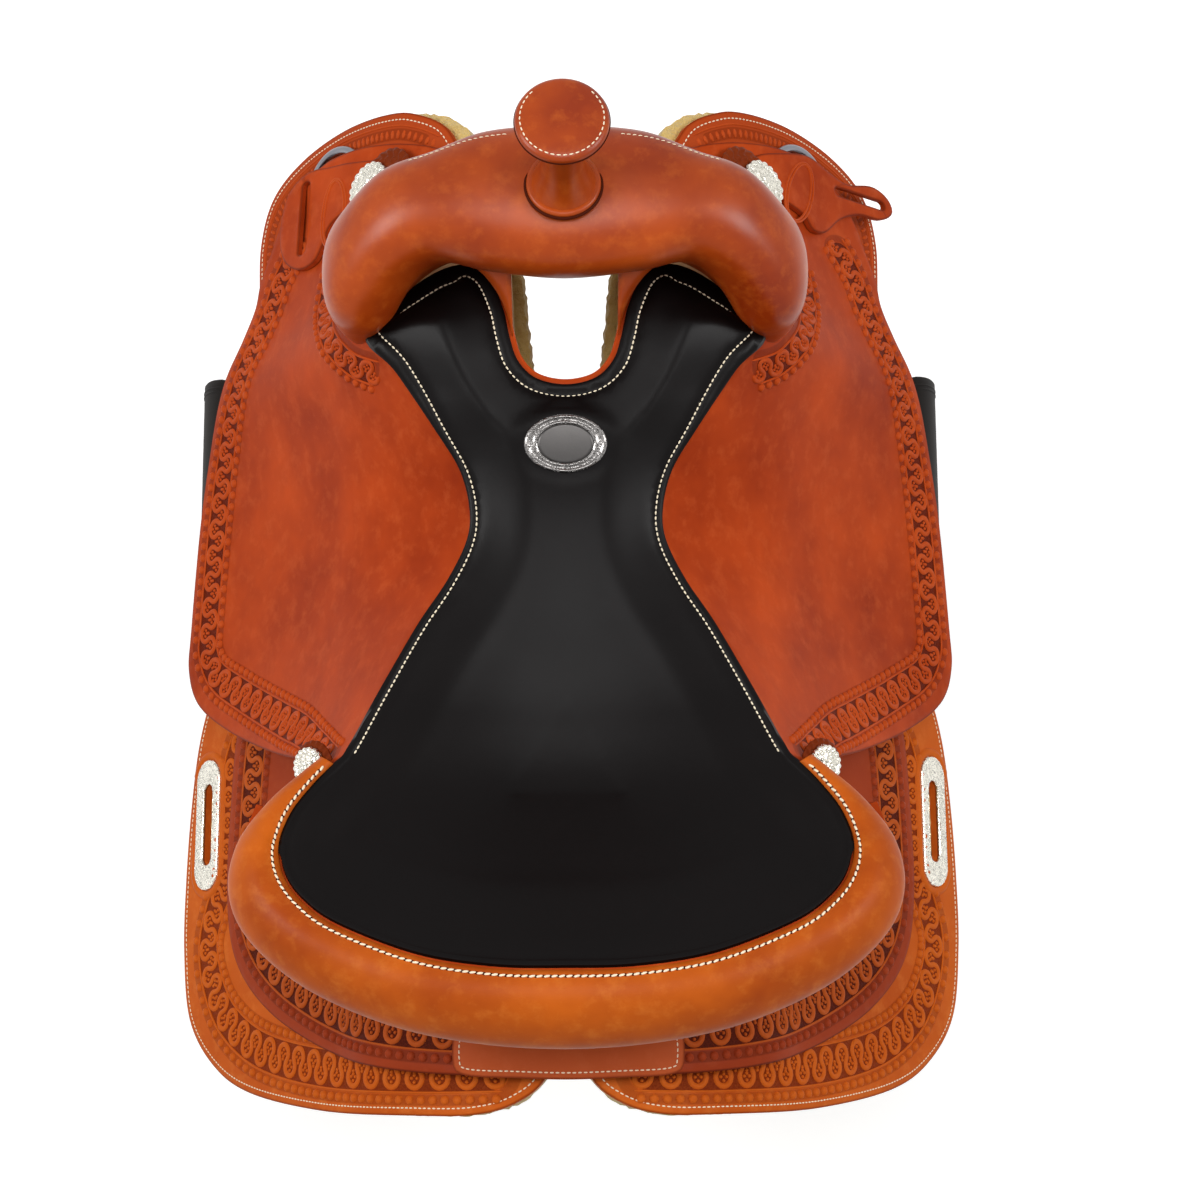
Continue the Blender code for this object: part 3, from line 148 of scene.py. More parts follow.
# The padded seat
PAD_EDGE_TOP = 3.6
PAD_SIDE = 3.2
PAD_SIDE_RUN = 4.5
PAD_CROWN = 8.0
PAD_CROWN_RUN = 36.0
PAD_SWELL = 3.0
SEAM_GROOVE = 0.9
SEAM_GROOVE_HALF = 1.1
SEAM_HIDDEN_Y = -122.0
SEAM_STITCH = 3.3
FOAM_SPREAD = 30
FOAM_FRAMES = 20
FOAM_PRESSURE = 4.0
SEAT_BASE_SHOWS = 1.6
SEAT_FRONT_HALF = 52.0
SEAT_FRONT_Y = 95.0

# The roll behind the seat, with its section as (share outwards, height)
ROLL_SECTION = (
    (0, -0.5), (0, 0.25), (0.15, 0.75), (0.4, 1.0), (0.7, 0.85), (0.92, 0.35), (1.0, -0.3),
    (0.94, -0.8), (0.75, -0.7), (0.4, -0.6),
)
ROLL_GAP = 1.7
ROLL_DROP = 15.0
ROLL_DROP_WIDTH = 40.0
ROLL_FAT = 9.0
ROLL_FAT_WIDTH = 30.0
ROLL_SEAM = 2.6
ROLL_STITCH = 4.1
ROLL_HOLE_RADIUS = 1.15

# The slotted leathers in front, as (x, y), with each slot and stamped oval as place, half sizes and turn
KEEPER_LIFT = 0.8
KEEPER_THICK = 3.5
KEEPER_LEFT_PLAN = (
    (116, 274), (138, 283), (156, 288), (174, 292), (190, 283), (196, 258), (192, 237),
    (180, 224), (167, 223), (160, 233), (154, 246), (134, 252), (118, 256),
)
KEEPER_LEFT_SLOT = ((176, 260), 2.8, 26.0, 3.0)
KEEPER_LEFT_STAMP = ((152.0, 252.0), 9.4, 25.0, 2.0)
KEEPER_RIGHT_PLAN = (
    (120, 278), (140, 289), (160, 296), (176, 292), (190, 290), (210, 297), (223, 294),
    (227, 285), (217, 276), (199, 272), (184, 262), (172, 247), (162, 244), (155, 252),
    (138, 256), (121, 260),
)
KEEPER_RIGHT_SLOT = ((200, 284), 20.0, 2.8, 8.0)
KEEPER_RIGHT_STAMP = ((152.0, 266.0), 9.5, 24.0, -14.0)

# The fork, as stations ((x, height), (place along, half depth), half thickness) of its right half
FORK_ARCH = (
    ((0, 150), (201, 46), 27), ((45, 149), (202, 42), 27), ((75, 144), (200, 33), 28),
    ((100, 133), (192, 35), 28), ((121, 112), (174, 37), 26), ((126, 88), (172, 36), 21),
    ((122, 62), (174, 36), 18), ((112, 20), (182, 34), 17),
)
FORK_FULLNESS = 2.3
FORK_CORNERS = 72
FORK_FOOT = 18.5
COVER_FOOT = 32.0
COVER_THICK = 4.0
SWELL_SEAM = (30.0, 88.0)
SWELL_SEAM_CORNER = 8
FORK_BACK = (30.0, 62.0)
FORK_BACK_CORNER = 43
FORK_BACK_FOOT = (
    (32, 130), (36, 150), (44, 175), (60, 187), (80, 185), (100, 173), (115, 161), (128, 149),
    (133, 141),
)
FORK_BACK_BULGE = (0.0, -2.0, 2.0)
FORK_BACK_THICK = 3.0

# The horn, with its profiles as (radius, height up its axis)
HORN_LEAN = math.radians(9)
HORN_AXIS = (0.0, math.sin(HORN_LEAN), math.cos(HORN_LEAN))
HORN_BASE = (0.0, 201.5, 172.0)
HORN_NECK = (
    (20.5, 2), (19.5, 6), (17, 12), (14.6, 20), (12.9, 30), (12.2, 42), (12.4, 54), (13.5, 61),
    (15.5, 66),
)
HORN_POST = ((0, -28), (8, -28), (8, 65), (21, 70.5), (22, 71.5), (22, 75.5), (0, 75.5))
HORN_CAP = (
    (14, 65), (19, 66.4), (24, 69.5), (26.3, 73), (26.5, 75), (25.6, 77.2), (22, 78.8),
    (12, 79.8), (0, 80),
)
HORN_COLLAR = ((18, 3.5), (21.4, 4.0), (21.8, 6.0), (20.6, 7.4), (17.8, 7.8))
HORN_STITCH_GAP = 0.75
HORN_STITCH_RADIUS = 23.4
HORN_STITCH_HEIGHT = 78.3

# Badges
CONCHO_THICK = 2.0
CONCHO_DOME = 2.0
CONCHO_LIFT = 3.3
FRONT_CONCHO_PLAN = (122.0, 256.0)
FRONT_CONCHO_LIFT = 5.5
FRONT_CONCHO_RADIUS = 17.5
FRONT_ROSETTE_PLAN = (114.0, 257.0)
FRONT_ROSETTE_RADIUS = 25.0
REAR_CONCHO_PLAN = (151.0, -127.0)
REAR_CONCHO_LIFT = 3.5
REAR_CONCHO_RADIUS = 12.5
REAR_CONCHO_FACING = (0.62, -0.12, 0.78)
REAR_ROSETTE_RADIUS = 16.25
NAMEPLATE_HALF = (25.0, 17.5)
NAMEPLATE_Y = 69.0
NAMEPLATE_LIFT = 14.5
NAMEPLATE_MIDDLE = 0.68

# The rigging rings on the skirts
RIGGING_RING_PLACE = (165.0, 272.0)
RIGGING_RING_RADIUS = 36.0
RIGGING_WIRE_RADIUS = 2.6
RING_CLEARANCE = 5.2

# Fenders and stirrups
FENDER_PIVOT = (156.0, 50.0)
FENDER_LIFT = SKIRT_TOP + 7.0
FENDER_THICK = 4.0
FENDER_LEAN = math.radians(14)
FENDER_BEND_START = 306.0
FENDER_BEND_RADIUS = 60.0
FENDER_BEND = math.radians(43)
FENDER_PATTERN = tuple((drop, ahead) for ahead, drop in (
    (-31, 0), (-22, -22), (0, -31), (22, -22), (31, 0), (33, 35), (48, 80), (78, 130),
    (92, 180), (84, 235), (58, 295), (38, 340), (34, 376), (-34, 376), (-38, 340), (-58, 295),
    (-84, 235), (-92, 180), (-78, 130), (-48, 80), (-33, 35),
))
FENDER_CREASE_INSETS = (6.0, 9.0)
STIRRUP_BOLT_DROP = 425.0
STIRRUP_HEIGHT = 140.0
STIRRUP_TOP_DEPTH = 34.0
STIRRUP_TREAD_DEPTH = 50.0
STIRRUP_THICK = 11.0
STIRRUP_PITCH = 0.8
STIRRUP_RIB = 2.6
STIRRUP_RIB_HEIGHT = 0.35
STIRRUP_PATH = (
    (41, -10), (42, 10), (52, 45), (66, 85), (72, 115), (67, 134), (50, 140), (25, 140), (0, 140),
)

# Stamped borders, as the lines that their middles follow
SKIRT_BAND = (
    (36, -307), (93, -308), (176, -306), (246, -296), (290, -277), (313, -252), (322, -224),
    (314, -199), (300, -176), (298, -139), (296, -100), (280, -75),
)
SKIRT_LEAVES = ((80, 290), (96, 299), (116, 305), (164, 309), (212, 303), (244, 289), (258, 266), (259, 232))
REAR_JOCKEY_BAND = (
    (30, -283), (60, -283), (102, -279), (160, -268), (218, -246), (252, -220), (264, -188),
    (263, -130), (257, -84), (244, -66),
)
SIDE_JOCKEY_BAND = (
    (182, 246), (197, 226), (204, 208), (213, 192), (229, 166), (242, 122), (250, 72), (256, 0),
    (256, -20), (247, -38), (223, -57), (190, -80), (170, -94), (156, -108), (146, -120),
)
SWELL_FOOT_BAND = ((154, 214), (158, 190), (155, 164), (149, 147), (135, 130), (116, 118))
SWELL_FOOT_SCALE = 0.92

# What a border is made of: a serpentine ribbon, a raised line on each side and rows of bosses outside them
RELIEF = 1.1
SCROLL_STEP = 9.2
SCROLL_RISE = 3.6
RIBBON_HALF = 2.0
TREFOIL = ((0.0, 0.42), (-0.36, 0.0), (0.36, 0.0), (0.0, -0.3), (0.0, -0.62))
TREFOIL_RADIUS = 1.25
LINE_AWAY = 12.2
LINE_HALF = 0.75
BOSS_AWAY = 16.8
BOSS_PITCH = 8.3
BOSS_RADIUS = 3.2
BAND_END = 9
LEAF_PITCH = 5.2
LEAF_LENGTH = 6.4
LEAF_HALF = 1.5
LEAF_LINE_AWAY = 6.0
LEAF_LINE_HALF = 0.7
LEAF_GROUND = (3.4, 4.4)
FAR = 99.0

# Small forms, as (share of the length, share of the thickness) and (share across, share of the height)
STITCH_SHAPE = ((-1, 0.25), (-0.75, 0.8), (0, 1.0), (0.75, 0.8), (1, 0.25))
RIB_SHAPE = ((-1, -0.4), (1, -0.4), (0.75, 0.7), (0, 1), (-0.75, 0.7))
BOSS_SHAPE = ((1.0, -0.3), (0.85, 0.55), (0.4, 1.0))
EDGE_ROUND = 0.8

# Sizes of what shows in the surfaces, in millimetres
CLOUD_SIZE = 83.33
FLECK_SIZE = 11.11
CREASE_SIZE = 4.0
PORE_SIZE = 0.7692
STIPPLE_SIZE = 1.111
TUFT_SIZE = 5.556
STRAND_SIZE = 0.9091
BRUSH_SIZE = 5.0
SCRATCH_SIZE = 1.25
ENGRAVED_CURL_SIZE = 2.381
ENGRAVED_WANDER_SIZE = 2.0

# The camera, which stands where the photograph was taken from, above and a little behind
CAMERA_PLACE = (14.7, -279.2, 1470.3)
CAMERA_TURNS = (("Z", -0.3), ("Y", -0.177), ("X", 10.30))
FOCAL_PIXELS = 2332
PHOTO_PIXELS = 1200
SENSOR_WIDTH = 36.0

# The studio, in metres
FLOOR_LEVEL = -0.6
FLOOR_HALF = 6.0
FLOOR_GLOW = 0.45
WORLD_LIGHT = 0.36
LIGHT_TARGET = (0, 0, 0.05)


# Curves

def smooth(points, steps, closed=True):
    """Points along a smooth curve through the given ones."""
    p = [np.array(q, float) for q in points]
    count = len(p)
    found = []
    for i in range(count if closed else count - 1):
        if closed:
            a, b, c, d = (p[(i + k) % count] for k in (-1, 0, 1, 2))
        else:
            a, b, c, d = (p[min(max(i + k, 0), count - 1)] for k in (-1, 0, 1, 2))
        for j in range(steps):
            t = j / steps
            found.append(b + (c - a) * t / 2 + (2 * a - 5 * b + 4 * c - d) * t**2 / 2
                         + (3 * b - a - 3 * c + d) * t**3 / 2)
    if not closed:
        found.append(p[-1])
    return np.array(found)


def run_along(line):
    """How far along a line of points each of them is."""
    return np.concatenate([[0], np.cumsum(np.linalg.norm(np.diff(line, axis=0), axis=1))])


def at_run(values, run, at):
    """Values read at given runs, from those of each point."""
    return np.stack([np.interp(at, run, values[:, k]) for k in range(values.shape[1])], axis=1)


def evenly(curve, pitch, closed=True):
    """The same curve with its points spaced evenly."""
    whole = np.vstack([curve, curve[:1]]) if closed else np.asarray(curve)
    run = run_along(whole)
    count = max(int(round(run[-1] / pitch)), 3)
    at = np.linspace(0, run[-1], count + 1)
    if closed:
        at = at[:-1]
    return at_run(whole, run, at)


def inset(curve, distance, closed=True):
    """The curve moved to its own left by a distance, a number or one for each point."""
    if closed:
        ahead = np.roll(curve, -1, axis=0) - np.roll(curve, 1, axis=0)
    else:
        ahead = np.gradient(curve, axis=0)
    ahead = unit(ahead)
    distance = np.broadcast_to(np.asarray(distance, float), len(curve))
    return curve + np.stack([-ahead[:, 1], ahead[:, 0]], axis=1) * distance[:, None]


def anticlockwise(curve):
    """A closed curve, turned round where it runs clockwise."""
    x, y = curve[:, 0], curve[:, 1]
    area = np.sum(x * np.roll(y, -1) - np.roll(x, -1) * y)
    return curve if area > 0 else curve[::-1]


def along(table, y):
    """Values read from (place, value) pairs, smoothly between them."""
    keys = sorted(table)
    ys = np.array([k for k, _ in keys], float)
    vs = np.array([v for _, v in keys], float)
    slopes = np.gradient(vs, ys)
    y = np.clip(np.asarray(y, float), ys[0], ys[-1])
    i = np.clip(np.searchsorted(ys, y) - 1, 0, len(ys) - 2)
    width = ys[i + 1] - ys[i]
    t = (y - ys[i]) / width
    return ((1 + 2 * t) * (1 - t) ** 2 * vs[i] + t * (1 - t) ** 2 * width * slopes[i]
            + t**2 * (3 - 2 * t) * vs[i + 1] + t**2 * (t - 1) * width * slopes[i + 1])


def unit(vectors):
    """The same directions, each of length 1."""
    return vectors / np.maximum(np.linalg.norm(vectors, axis=-1), 1e-9)[..., None]


def ease(t):
    """0 below 0, 1 above 1, smooth between."""
    t = np.clip(t, 0, 1)
    return t * t * (3 - 2 * t)


# Surfaces

def ridge(y):
    """Height of the back along its spine."""
    return ROCKER_RISE * ((y - ROCKER_LOW_Y) / ROCKER_REACH) ** 2


def drape(s, y, lift):
    """Points `lift` above the back that the saddle is shaped for, `s` round from its spine."""
    s, y, lift = np.broadcast_arrays(np.asarray(s, float), y, lift)
    turn = np.minimum(np.abs(s) / CROWN_RADIUS, SIDE_SLOPE)
    run = np.maximum(np.abs(s) - CROWN_RADIUS * SIDE_SLOPE, 0.0)
    x = (CROWN_RADIUS + lift) * np.sin(turn) + run * math.cos(SIDE_SLOPE)
    z = (CROWN_RADIUS + lift) * np.cos(turn) - CROWN_RADIUS - run * math.sin(SIDE_SLOPE)
    return np.stack([np.copysign(x, s), y, ridge(y) + z], axis=-1)


def over_bar(s, y):
    """Lift of the leather that lies over a bar and down beside it."""
    middle = BAR_THICK - (BAR_THICK - BAR_TIP_THICK) * ease((BAR_TIP_Y - y) / BAR_TIP_RUN)
    across = (np.abs(s) - BAR_MIDDLE) / (BAR_HALF_WIDTH * 1.12)
    return SKIRT_TOP + 2 * LAYER_GAP + (middle + LAYER_GAP) * np.exp(-(across**4))


def back_height(x, y, lift):
    """Height of the back with leather of a lift on it, at a place seen from above."""
    reach = CROWN_RADIUS + lift
    edge = reach * math.sin(SIDE_SLOPE)
    inner = np.minimum(np.abs(x), edge)
    z = np.sqrt(reach**2 - inner**2) - CROWN_RADIUS
    return ridge(y) + z - np.maximum(np.abs(x) - edge, 0.0) * math.tan(SIDE_SLOPE)


SEAM = tuple((y, x) for x, y in SEAT_SIDE + SEAT_REAR[:3]) + SEAM_BEYOND_SEAT


def bed_height(x, y):
    """Height of the saddle's upper surface: the seat's bed, and the jockeys beside it."""
    x, y = np.broadcast_arrays(np.asarray(x, float), np.asarray(y, float))
    seam = np.maximum(along(SEAM, y), 1.0)
    seam_z = along(SEAM_HEIGHT, y)
    middle = along(MIDDLE_HEIGHT, y)
    within = middle + (seam_z - middle) * (x / seam) ** 2
    fall = np.maximum(1 - (np.abs(x) - seam) / SEAM_FADE, 0.0) ** 2
    beyond = back_height(x, y, JOCKEY_LIFT) + (seam_z - back_height(seam, y, JOCKEY_LIFT)) * fall
    return np.where(np.abs(x) <= seam, within, beyond)


def bed(x, y, lift):
    """Points `lift` above the bed, square to it."""
    x, y, lift = np.broadcast_arrays(np.asarray(x, float), np.asarray(y, float), np.asarray(lift, float))
    d = 2.0
    slope_x = (bed_height(x + d, y) - bed_height(x - d, y)) / (2 * d)
    slope_y = (bed_height(x, y + d) - bed_height(x, y - d)) / (2 * d)
    normal = np.stack([-slope_x, -slope_y, np.ones_like(slope_x)], axis=-1)
    normal /= np.linalg.norm(normal, axis=-1)[..., None]
    return np.stack([x, y, bed_height(x, y)], axis=-1) + normal * lift[..., None]


# Meshes

def new_object(name, points, faces, finish, body, side=1, sharp=None):
    """A mesh from points in millimetres that rides on a body."""
    mesh = bpy.data.meshes.new(name)
    placed = np.asarray(points, float) * (side, 1, 1) * MM
    if side < 0:
        faces = [tuple(reversed(f)) for f in faces]
    mesh.from_pydata([tuple(p) for p in placed], [], [tuple(int(i) for i in f) for f in faces])
    mesh.materials.append(finish)
    mesh.shade_smooth()
    if sharp:
        mesh.set_sharp_from_angle(angle=math.radians(sharp))
    found = bpy.data.objects.new(name, mesh)
    bpy.context.scene.collection.objects.link(found)
    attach(found, body)
    return found


def nearest(points, ring, closed=True):
    """Distance to a ring or a line, and how far along it the nearest place is."""
    starts = ring if closed else ring[:-1]
    run = (np.roll(ring, -1, axis=0) if closed else ring[1:]) - starts
    length = np.linalg.norm(run, axis=1)
    before = np.concatenate([[0], np.cumsum(length)[:-1]])
    best = np.full(len(points), 1e9)
    place = np.zeros(len(points))
    for a, r, size, begin in zip(starts, run, length, before):
        t = np.clip(((points - a) @ r) / max(size**2, 1e-9), 0, 1)
        away = np.linalg.norm(points - a - r * t[:, None], axis=1)
        closer = away < best
        best[closer] = away[closer]
        place[closer] = begin + t[closer] * size
    return best, place


def within(points, ring):
    """Which of the points lie inside a ring."""
    x, y = points[:, 0], points[:, 1]
    crossed = np.zeros(len(points), bool)
    for (x0, y0), (x1, y1) in zip(ring, np.roll(ring, -1, axis=0)):
        if y0 != y1:
            crossed ^= ((y0 > y) != (y1 > y)) & (x < (x1 - x0) * (y - y0) / (y1 - y0) + x0)
    return crossed


def cut_flat(outline, pitch, edge, holes=(), guides=()):
    """A fine flat mesh of a pattern, with rows of points along its cut edges and its guides: the points,
    the triangles, and each point's distance to the outline and to the nearest hole."""
    rings = [outline] + [np.array(h, float) for h in holes]
    copies = rings + [inset(ring, edge if k == 0 else -edge) for k, ring in enumerate(rings)] + list(guides)
    points = []
    links = []
    for copy in copies:
        start = len(points)
        points += list(copy)
        links += [(start + i, start + (i + 1) % len(copy)) for i in range(len(copy))]
    low, high = outline.min(axis=0), outline.max(axis=0)
    rows = np.arange(low[1], high[1], pitch * 0.866)
    grid = np.array([(x + (i % 2) * pitch / 2, y) for i, y in enumerate(rows)
                     for x in np.arange(low[0], high[0], pitch)])
    kept = within(grid, outline) & (nearest(grid, outline)[0] > edge + pitch * 0.4)
    for hole in rings[1:]:
        kept &= ~within(grid, hole) & (nearest(grid, hole)[0] > edge + pitch * 0.3)
    for guide in guides:
        kept &= nearest(grid, guide)[0] > pitch * 0.35
    points += list(grid[kept])
    found, _, triangles, *_ = delaunay_2d_cdt([Vector(p) for p in points], links, [], 0, 1e-5)
    flat = np.array([tuple(v) for v in found])
    tris = np.array([tuple(t) for t in triangles])
    middle = flat[tris].mean(axis=1)
    good = within(middle, outline)
    for hole in rings[1:]:
        good &= ~within(middle, hole)
    tris = tris[good]
    used = np.unique(tris)
    index = np.full(len(flat), -1)
    index[used] = np.arange(len(used))
    flat = flat[used]
    away = nearest(flat, outline)[0]
    hole_away = np.full(len(flat), 1e9)
    for hole in rings[1:]:
        hole_away = np.minimum(hole_away, nearest(flat, hole)[0])
    return flat, index[tris], away, hole_away


def panel(name, outline, surface, low, high, finish, body, side=1, pitch=4.5, edge=1.0, holes=(), steps=8,
          guides=(), bands=(), leaves=(), spacing=3.0):
    """A leather panel cut to a pattern and laid over a surface, with a rounded edge. `low` and `high` are
    the lifts of its two sides: numbers, or functions of the flat place and the distance to the edge."""
    outline = anticlockwise(evenly(smooth(outline, steps), spacing))
    flat, tris, away, hole_away = cut_flat(outline, pitch, edge, holes, guides)
    u, v = flat[:, 0], flat[:, 1]
    near = np.minimum(away, hole_away)
    bottom = low(u, v, away) if callable(low) else np.full(len(flat), float(low))
    top = high(u, v, away) if callable(high) else np.full(len(flat), float(high))
    top = top - edge * EDGE_ROUND * (1 - np.clip(near / edge, 0, 1)) ** 2
    count = len(flat)
    points = np.vstack([surface(u, v, top), surface(u, v, bottom)])
    edges = {(a, b) for tri in tris for a, b in zip(tri, np.roll(tri, -1))}
    faces = [tuple(t) for t in tris] + [(c + count, b + count, a + count) for a, b, c in tris]
    faces += [(b, a, a + count, b + count) for a, b in edges if (b, a) not in edges]
    obj = new_object(name, points, faces, finish, body, side, sharp=50)
    stamped = np.full(len(flat), FAR)
    marked = np.full(len(flat), FAR)
    for band in bands:
        stamped = np.minimum(stamped, band.distance(flat))
    for band in leaves:
        marked = np.minimum(marked, band.distance(flat))
    shown = np.stack([near, stamped, marked], axis=1)
    tooling = np.vstack([shown, np.full_like(shown, FAR)]).astype(np.float32)
    obj.data.attributes.new("tooling", "FLOAT_VECTOR", "POINT").data.foreach_set("vector", tooling.ravel())
    return obj


def skin(name, rings, finish, body, closed_along=False, caps=False, side=1):
    """A surface through rings of points, closed into a loop along them or capped at its ends."""
    rings = np.asarray(rings, float)
    rows, count = rings.shape[:2]
    faces = []
    for i in range(rows if closed_along else rows - 1):
        a, b = i * count, (i + 1) % rows * count
        for j in range(count):
            k = (j + 1) % count
            faces.append((a + j, a + k, b + k, b + j))
    if caps:
        faces.append(tuple(reversed(range(count))))
        faces.append(tuple(range((rows - 1) * count, rows * count)))
    return new_object(name, rings.reshape(-1, 3), faces, finish, body, side)


def turned(name, profile, finish, segments=72, steps=6):
    """A surface turned about the horn's axis from (radius, height) pairs, smoothly between them."""
    profile = smooth(profile, steps, closed=False) if steps else np.array(profile, float)
    out = round_horn(np.linspace(0, 2 * math.pi, segments, endpoint=False))
    rings = [horn_place(height) + out * max(radius, 0.01) for radius, height in profile]
    return skin(name, rings, finish, "saddle")


def tube_faces(rows, count):
    """The faces of a closed tube of rows of points, with its two ends."""
    faces = []
    for low in range(0, (rows - 1) * count, count):
        high = low + count
        for j in range(count):
            k = (j + 1) % count
            faces.append((low + j, low + k, high + k, high + j))
    return faces + [tuple(range(count))[::-1], tuple((rows - 1) * count + j for j in range(count))]


class Work:
    """Sewn or raised work of one finish, gathered into one mesh."""

    def __init__(self, name, finish, slot, body="saddle"):
        self.name, self.finish, self.slot, self.body = name, finish, slot, body
        self.points = []
        self.faces = []
        self.count = 0

    def take(self, stack, faces):
        """Adds copies of one closed form, as points of (copy, corner, 3) and the faces of a copy."""
        copies, corners = stack.shape[:2]
        self.points.append(stack.reshape(-1, 3))
        for n in range(copies):
            start = self.count + n * corners
            self.faces += [tuple(start + i for i in face) for face in faces]
        self.count += copies * corners

    def sew(self, line, up, pitch=3.4, length=0.7, radius=0.45, lean=0.0, lift=0.15):
        """Stitches along a line of points, each a small capsule lying on the leather."""
        run = run_along(line)
        count = int(run[-1] / pitch)
        at = (np.arange(count) + 0.5) * run[-1] / count
        middle, up = at_run(line, run, at), unit(at_run(up, run, at))
        ahead = at_run(line, run, at + 0.5) - at_run(line, run, at - 0.5)
        ahead = unit(ahead - up * np.sum(ahead * up, axis=1)[:, None])
        across = np.cross(up, ahead)
        ahead, across = (ahead * math.cos(lean) + across * math.sin(lean),
                         across * math.cos(lean) - ahead * math.sin(lean))
        half = pitch * length / 2
        rings = []
        for share, thick in STITCH_SHAPE:
            for k in range(6):
                a = math.pi * k / 3
                rings.append(middle + ahead * half * share + across * (radius * thick * math.cos(a))
                             + up * (radius * thick * math.sin(a) * 0.8 + lift - 0.25 * radius * share**2))
        self.take(np.stack(rings, axis=1), tube_faces(len(STITCH_SHAPE), 6))

    def rib(self, line, up, half, height):
        """A raised band along a line, rounded across."""
        ahead = unit(np.gradient(line, axis=0))
        up = unit(up)
        across = np.cross(up, ahead)
        share = np.ones(len(line))
        share[[0, -1]] = 0.3
        rings = [line + across * (a * half * share)[:, None] + up * (b * height * share)[:, None]
                 for a, b in RIB_SHAPE]
        self.take(np.stack(rings, axis=1).reshape(1, -1, 3), tube_faces(len(line), len(RIB_SHAPE)))

    def bosses(self, places, up, radius, height):
        """Low round domes."""
        up = unit(up)
        across = unit(np.cross(up, (0.1, 1.0, 0.05)))
        other = np.cross(up, across)
        rings = []
        for share, level in BOSS_SHAPE:
            for k in range(8):
                a = math.pi * k / 4
                rings.append(places + (across * math.cos(a) + other * math.sin(a)) * radius * share
                             + up * height * level)
        self.take(np.stack(rings, axis=1), tube_faces(len(BOSS_SHAPE), 8))

    def finished(self):
        """Makes the mesh once everything is in it."""
        if self.count:
            obj = new_object(self.name, np.vstack(self.points), self.faces, self.finish, self.body, sharp=60)


def on_surface(surface, curve, lift, side=1):
    """Points and square directions of a flat curve laid on a surface."""
    line = surface(curve[:, 0], curve[:, 1], lift)
    above = surface(curve[:, 0], curve[:, 1], np.asarray(lift, float) + 1.0)
    return line * (side, 1, 1), (above - line) * (side, 1, 1)


class Band:
    """A strip of tooling along a flat line on a surface, with true sizes across and along it."""

    def __init__(self, surface, line, lift, scale=1.0):
        self.surface, self.scale = surface, scale
        self.lift = lift if callable(lift) else (lambda u, v: np.full(np.shape(u), float(lift)))
        self.line = evenly(smooth(line, 10, closed=False), 1.0, closed=False)
        x, y = self.line.T
        placed = surface(x, y, self.lift(x, y))
        self.run = run_along(placed)
        self.square = inset(self.line, 1.0, closed=False) - self.line
        step = self.line + self.square * 2
        reach = surface(step[:, 0], step[:, 1], self.lift(*step.T)) - placed
        self.stretch = np.linalg.norm(reach, axis=1) / 2

    def distance(self, flat):
        """True distance from the line, in the band's own scale."""
        away, place = nearest(flat, self.line[BAND_END:-BAND_END], closed=False)
        return away * np.interp(place + BAND_END, np.arange(len(self.line)), self.stretch) / self.scale

    def place(self, at, across, side):
        """Points and square directions at runs along the band and distances across it."""
        stretch = np.interp(at, self.run, self.stretch)
        aside = at_run(self.square, self.run, at) * (across / stretch)[:, None]
        flat = at_run(self.line, self.run, at) + aside
        return on_surface(self.surface, flat, self.lift(*flat.T), side)

    def lengthways(self, work, away, half, height, side):
        """A raised line along the band, `away` from its middle."""
        at = np.arange(0, self.run[-1], 2.5)
        work.rib(*self.place(at, np.full(len(at), away * self.scale), side), half, height)

    def row(self, work, away, pitch, radius, height, side):
        """A row of bosses along the band, `away` from its middle."""
        count = int(self.run[-1] / (pitch * self.scale))
        at = (np.arange(count) + 0.5) * self.run[-1] / count
        work.bosses(*self.place(at, np.full(count, away * self.scale), side), radius * self.scale, height)

    def scroll(self, work, side):
        """A serpentine ribbon of nearly closed rings, with a trefoil in each."""
        scale = self.scale
        count = int(self.run[-1] / (SCROLL_STEP * scale))
        step = self.run[-1] / count
        rise = SCROLL_RISE * scale
        radius = math.hypot(step, 2 * rise) / 2
        low = math.atan2(2 * rise, step)
        turn = np.linspace(math.pi + low, -low, 13)[:-1]
        at, across, foils = [], [], []
        for k in range(count):
            lean = 1 if k % 2 else -1
            middle = (k + 0.5) * step
            at.append(middle + radius * np.cos(turn))
            across.append(lean * (rise + radius * np.sin(turn)))
            foils += [(middle + a * radius, lean * (rise + b * radius)) for a, b in TREFOIL]
        at, across = np.concatenate(at), np.concatenate(across)
        work.rib(*self.place(at, across, side), RIBBON_HALF * scale, RELIEF)
        foils = np.array(foils)
        work.bosses(*self.place(foils[:, 0], foils[:, 1], side), TREFOIL_RADIUS * scale, RELIEF * 0.9)

    def marks(self, work, side):
        """Short leaf marks across the band."""
        at = np.arange(0, self.run[-1], 2.0)
        line, up = self.place(at, np.zeros(len(at)), side)
        work.sew(line, up, LEAF_PITCH, LEAF_LENGTH / LEAF_PITCH, LEAF_HALF, math.pi / 2, 0.0)

    def stamp(self, ribbon, boss, side, rows=(-1, 1)):
        """The whole border: ribbon, its two raised lines and the rows of bosses outside them."""
        self.scroll(ribbon, side)
        for lean in (-1, 1):
            self.lengthways(ribbon, lean * LINE_AWAY, LINE_HALF, RELIEF * 0.8, side)
        for lean in rows:
            self.row(boss, lean * BOSS_AWAY, BOSS_PITCH, BOSS_RADIUS, RELIEF * 1.7, side)


# Materials

def linear(hexa):
    """An sRGB hex colour as the linear one that a shader takes."""
    srgb = [int(hexa[i:i + 2], 16) / 255 for i in (1, 3, 5)]
    return tuple(c / 12.92 if c <= 0.04045 else ((c + 0.055) / 1.055) ** 2.4 for c in srgb) + (1.0,)


